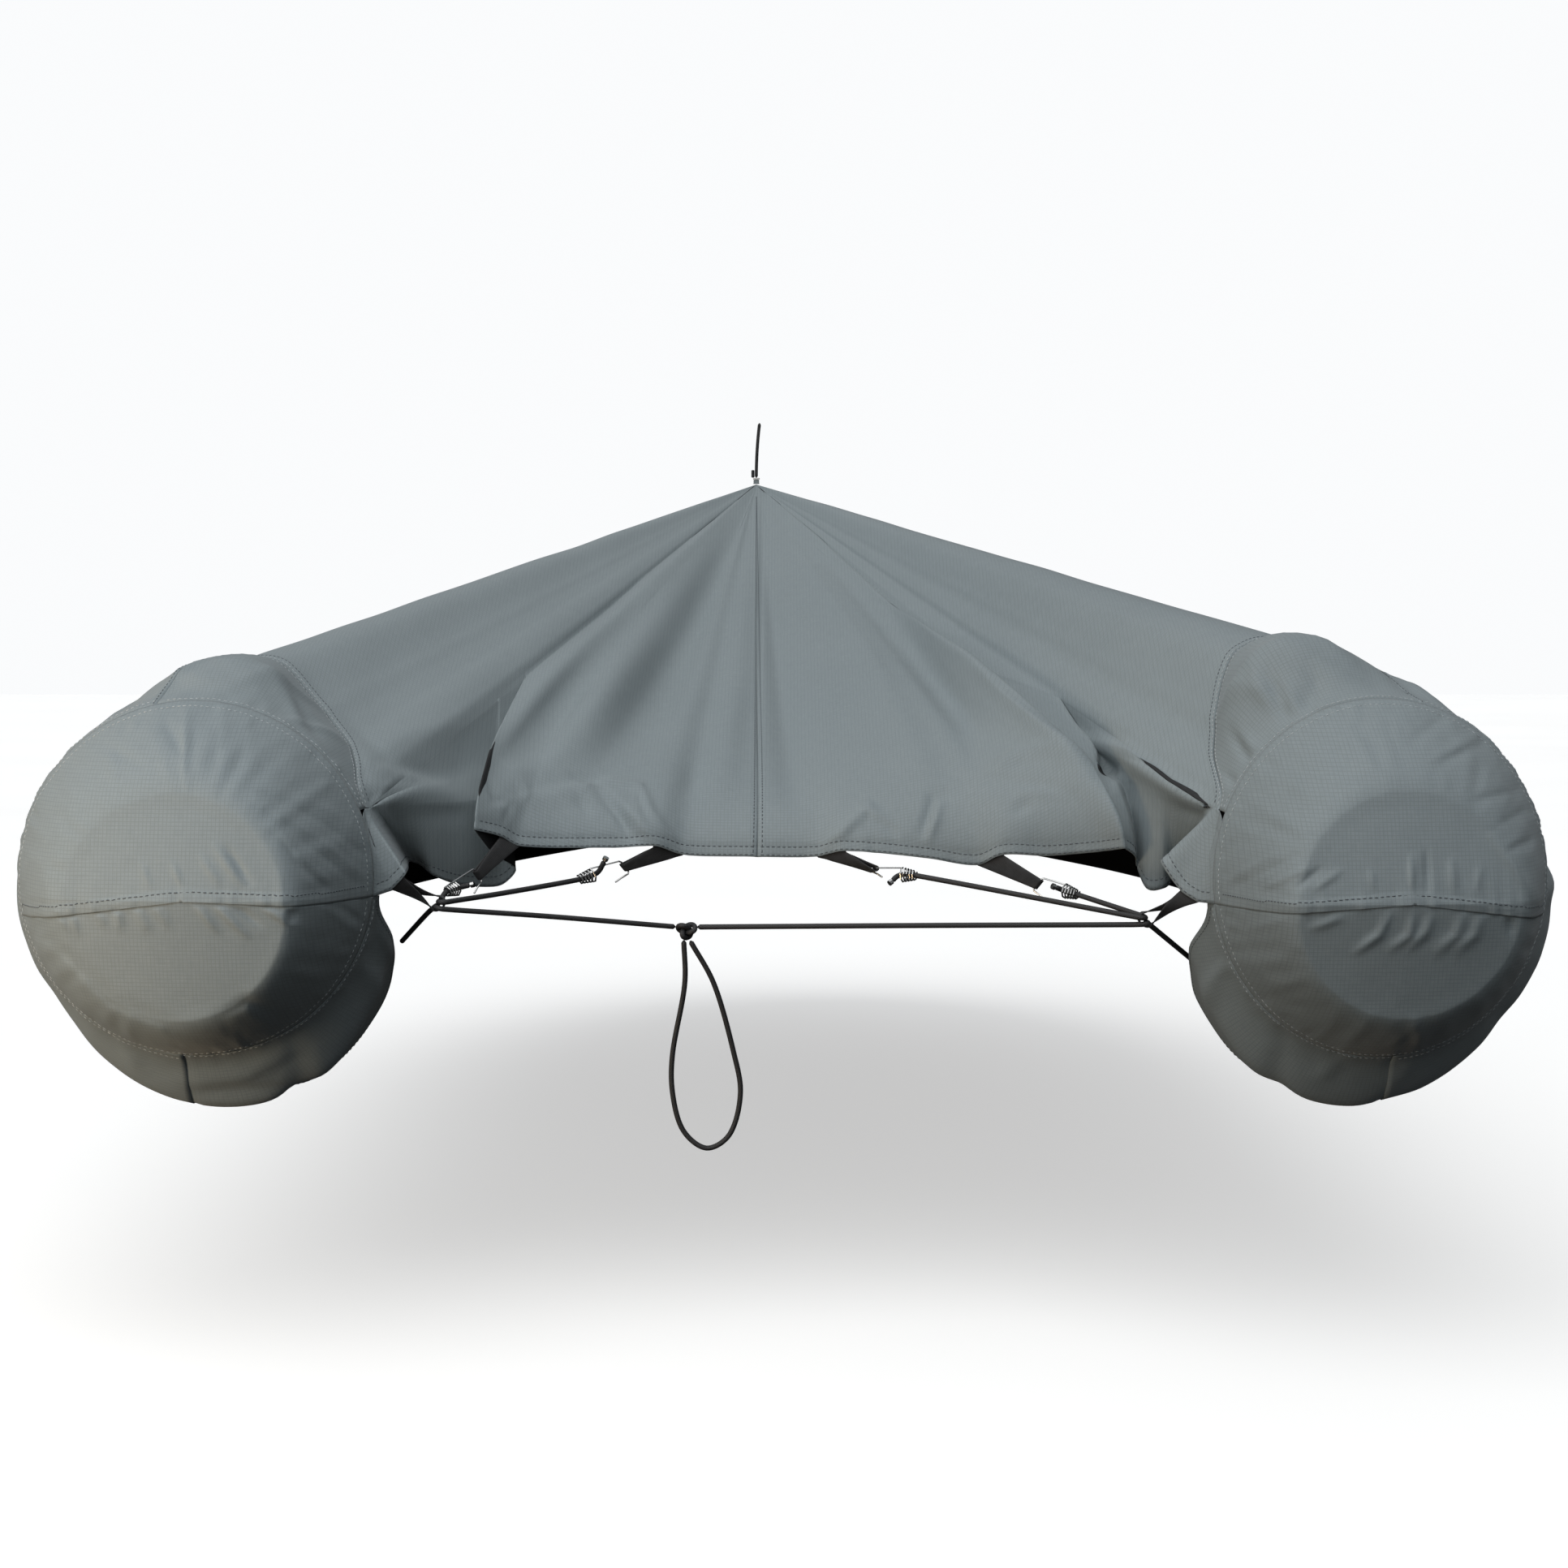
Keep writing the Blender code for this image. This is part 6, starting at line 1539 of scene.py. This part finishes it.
def makeLoop(name, node, tail, first, second, tipOne, tipTwo, room):
    hemOne, edgeOne = np.array(tail[first][0]), np.array(tail[first][1])
    hemTwo, edgeTwo = np.array(tail[second][0]), np.array(tail[second][1])
    up = unit((edgeOne - hemOne) + (edgeTwo - hemTwo))
    inward = unit(np.cross(hemTwo - hemOne, up))
    if inward[1] < 0.0:
        inward = -inward
    thick, apart = webSizes["thick"], webSizes["apart"]
    back = inward * (webSizes["cloth"] / 2 + 0.0010 + thick + apart / 2)
    rootOne, rootTwo, tuck = hemOne + back, hemTwo + back, up * webSizes["tuck"]
    tipOne, tipTwo = np.array(tipOne), np.array(tipTwo)
    root, tip = (rootOne + rootTwo) / 2, (tipOne + tipTwo) / 2
    halfRoot, halfTip = (thick + apart) / 2, (webSizes[room] + thick) / 2
    forth = unit(tip - root)
    shares = np.concatenate([[-1.0], np.linspace(0.0, 1.0, 24)])
    path = []
    for share in shares:
        t = max(float(share), 0.0)
        wide = (rootTwo - rootOne) * (1 - t) + (tipTwo - tipOne) * t
        bend = float(smooth(t / 0.3))
        along = forth * bend + unit(-tuck) * (1.0 - bend)
        face = unit(np.cross(along, wide))
        centre = root + (tip - root) * t + tuck * max(-float(share), 0.0)
        gap = halfRoot + (halfTip - halfRoot) * t ** 3 + webSizes["belly"] * math.sin(math.pi * t)
        path.append((centre, wide, face, gap))
    centre, wide, face, gap = path[-1]
    rings = [(c + f * a, w, f) for c, w, f, a in path]
    for k in range(1, 12):
        turn = math.pi * k / 12
        way = face * math.cos(turn) + forth * math.sin(turn)
        rings.append((centre + way * gap, wide, way))
    rings += [(c - f * a, w, -f) for c, w, f, a in reversed(path)]
    line = np.array([ring[0] for ring in rings])
    steps = np.concatenate([[0.0], np.cumsum(np.linalg.norm(np.diff(line, axis=0), axis=1))])
    at = np.arange(0.0, steps[-1], webSizes["ribEvery"] / 5)
    rings = np.array(rings)
    centres, wides, faces = (
        np.stack([np.interp(at, steps, rings[:, k, c]) for c in range(3)], axis=1) for k in range(3)
    )
    faces = unit(faces)
    rib = 0.5 + 0.5 * np.cos(at / webSizes["ribEvery"] * 2 * math.pi)
    # half of the webbing's outline across and out, from its left edge to its right, then turned round
    half = ((-1.0, -0.55), (-0.93, -1.0), (-0.45, -1.0), (0.0, -1.0),
            (0.45, -1.0), (0.93, -1.0), (1.0, -0.55))
    outline = half + tuple((-across, -out) for across, out in half)
    points = []
    for across, out in outline:
        ribbed = webSizes["ribHigh"] * (rib - 1.0) * (abs(across) < 0.9)
        edge = webSizes["ribHigh"] * (rib - 0.5) * 0.8 * (abs(across) >= 0.99)
        high = thick / 2 * out + np.sign(out) * ribbed
        reach = across / 2 + np.sign(across) * edge / webSizes["wide"]
        points.append(centres + wides * np.broadcast_to(reach, at.shape)[:, None]
                      + faces * np.broadcast_to(high, at.shape)[:, None])
    mapU = np.array([pair[0] for pair in outline + outline[:1]]) * webSizes["wide"] / 2
    mesh = sweptMesh(name, np.stack(points, axis=1), mapU, at, blackWebbing)
    return addPiece(name, mesh, node)


for row in loopRows:
    makeLoop(*row)
print("webbing loops made")


# The cloth tab under the peak's ring is folded over and narrow at its middle
tabSizes = {"wide": 0.0090, "deep": 0.0030, "high": 0.0060, "foot": 0.00105, "waist": 0.12}


def makeTab():
    turns = np.linspace(0.0, 2 * math.pi, 41)
    levels = np.linspace(0.0, 1.0, 15)
    rings = []
    for level in levels:
        closing = 1.0 - 0.35 * max(level - 0.85, 0.0) / 0.15
        wide = tabSizes["wide"] / 2 * (1.0 - tabSizes["waist"] * math.sin(math.pi * level)) * closing
        deep = tabSizes["deep"] / 2 * (1.0 - 0.2 * level) * closing
        x = np.sign(np.cos(turns)) * np.abs(np.cos(turns)) ** 0.5 * wide
        y = np.sign(np.sin(turns)) * np.abs(np.sin(turns)) ** 0.5 * deep
        z = np.full_like(turns, tabSizes["foot"] + tabSizes["high"] * level)
        rings.append(np.stack([x, y, z], axis=1) + peak)
    grid = np.array(rings)
    grid[:, -1] = grid[:, 0]
    ends = [np.repeat(grid[k].mean(axis=0)[None], len(turns), 0) for k in (0, -1)]
    grid = np.concatenate([ends[0][None], grid, ends[1][None]])
    weld = Weld()
    weld.add(grid, np.stack([grid[..., 0], grid[..., 2]], axis=-1), np.zeros(grid.shape[:2]))
    weld.join(flip=True)
    mesh = newMesh("peakTab", inFrame(weld.placed), weld.faces, weld.corners, [coverCloth])
    return addPiece("peakTab", mesh, "peak_tab")


makeTab()

for name, node in frame["nodes"].items():
    finish = None
    if name.startswith(("hook_", "clip_")):
        finish = brightWire
    elif name == "peak_ring":
        finish = paleRing
    if finish:
        node.data.materials.clear()
        node.data.materials.append(finish)
print("hooks, clips and ring finished")


stagePlan = {"floor": -0.95, "wide": 40.0, "front": -8.0, "back": 60.0, "colour": (0.62, 0.62, 0.61),
             "glow": (1.0, 1.0, 1.0), "glowStrength": 0.55}


def makeStage():
    # A pale floor that runs out to the white behind it, with a very slight unevenness of tone
    half, near, far, low = (stagePlan[key] for key in ("wide", "front", "back", "floor"))
    points = [(-half, near, low), (half, near, low), (half, far, low), (-half, far, low)]
    mesh = bpy.data.meshes.new("studioFloor")
    mesh.from_pydata(points, [], [(0, 1, 2, 3)])
    mesh.shade_smooth()
    material, tree, shader = newMaterial("studioFloor")
    place = tree.nodes.new("ShaderNodeTexCoord").outputs["Object"]
    tone = noiseNode(tree, place, 0.6, 2.0)
    paler = tuple(min(c * 1.03, 1.0) for c in stagePlan["colour"])
    tree.links.new(mixColours(tree, tone, stagePlan["colour"], paler), shader.inputs["Base Color"])
    tree.links.new(spanOf(tree, tone, -1.0, 1.5), shader.inputs["Roughness"])
    shader.inputs["Emission Color"].default_value = (*stagePlan["glow"], 1.0)
    shader.inputs["Emission Strength"].default_value = stagePlan["glowStrength"]
    mesh.materials.append(material)
    floor = bpy.data.objects.new("studioFloor", mesh)
    bpy.context.collection.objects.link(floor)
    # the floor's glow doesn't reach the cover, whose lower side stays dark
    floor.visible_diffuse = False
    floor.visible_glossy = False


lightPlan = {
    "key": {"place": (-1.5, -2.6, 0.0), "aim": (-0.6, -1.1, -0.4), "size": 1.0, "power": 9.0},
    "warm": {"place": (-1.7, -2.0, -0.85), "aim": (-0.7, -1.1, -0.65), "size": 0.6, "power": 15.0,
             "colour": (1.0, 0.74, 0.46)},
    "front": {"from": (0.15, -1.0, 0.25), "angle": 40.0, "power": 0.26},
    "sky": {"from": (-0.20, -0.38, 0.90), "angle": 70.0, "power": 1.50},
}
airPlan = {"seen": (0.96, 0.97, 0.98), "high": (0.36, 0.38, 0.40), "low": (0.020, 0.020, 0.020)}


def makeLight():
    for name, plan in lightPlan.items():
        if "from" in plan:
            data = bpy.data.lights.new(name + "Light", "SUN")
            data.angle = math.radians(plan["angle"])
            place, aim = np.array(plan["from"]) * 5.0, np.zeros(3)
        else:
            data = bpy.data.lights.new(name + "Light", "AREA")
            data.size = plan["size"]
            place, aim = np.array(plan["place"]), np.array(plan["aim"])
        data.energy = plan["power"]
        data.color = plan.get("colour", (1.0, 1.0, 1.0))
        lamp = bpy.data.objects.new(name + "Light", data)
        way = unit(aim - place)
        lamp.location = place
        lamp.rotation_euler = (math.acos(-way[2]), 0.0, math.atan2(way[1], way[0]) - math.pi / 2)
        bpy.context.collection.objects.link(lamp)
    world = bpy.data.worlds.new("studioAir")
    world.use_nodes = True
    tree = world.node_tree
    seen = tree.nodes["Background"]
    seen.inputs["Color"].default_value = (*airPlan["seen"], 1.0)
    soft = tree.nodes.new("ShaderNodeBackground")
    way = tree.nodes.new("ShaderNodeSeparateXYZ")
    tree.links.new(tree.nodes.new("ShaderNodeTexCoord").outputs["Generated"], way.inputs[0])
    height = mathNode(tree, "SUBTRACT", way.outputs[2], times(tree, way.outputs[0], 0.25))
    tint = mixColours(tree, spanOf(tree, height, -0.15, 0.75), airPlan["low"], airPlan["high"])
    tree.links.new(tint, soft.inputs["Color"])
    mix = tree.nodes.new("ShaderNodeMixShader")
    tree.links.new(tree.nodes.new("ShaderNodeLightPath").outputs["Is Camera Ray"], mix.inputs[0])
    tree.links.new(soft.outputs[0], mix.inputs[1])
    tree.links.new(seen.outputs[0], mix.inputs[2])
    tree.links.new(mix.outputs[0], tree.nodes["World Output"].inputs["Surface"])
    bpy.context.scene.world = world
    bpy.context.scene.view_settings.view_transform = "Standard"


makeStage()
makeLight()
print("stage and light made")
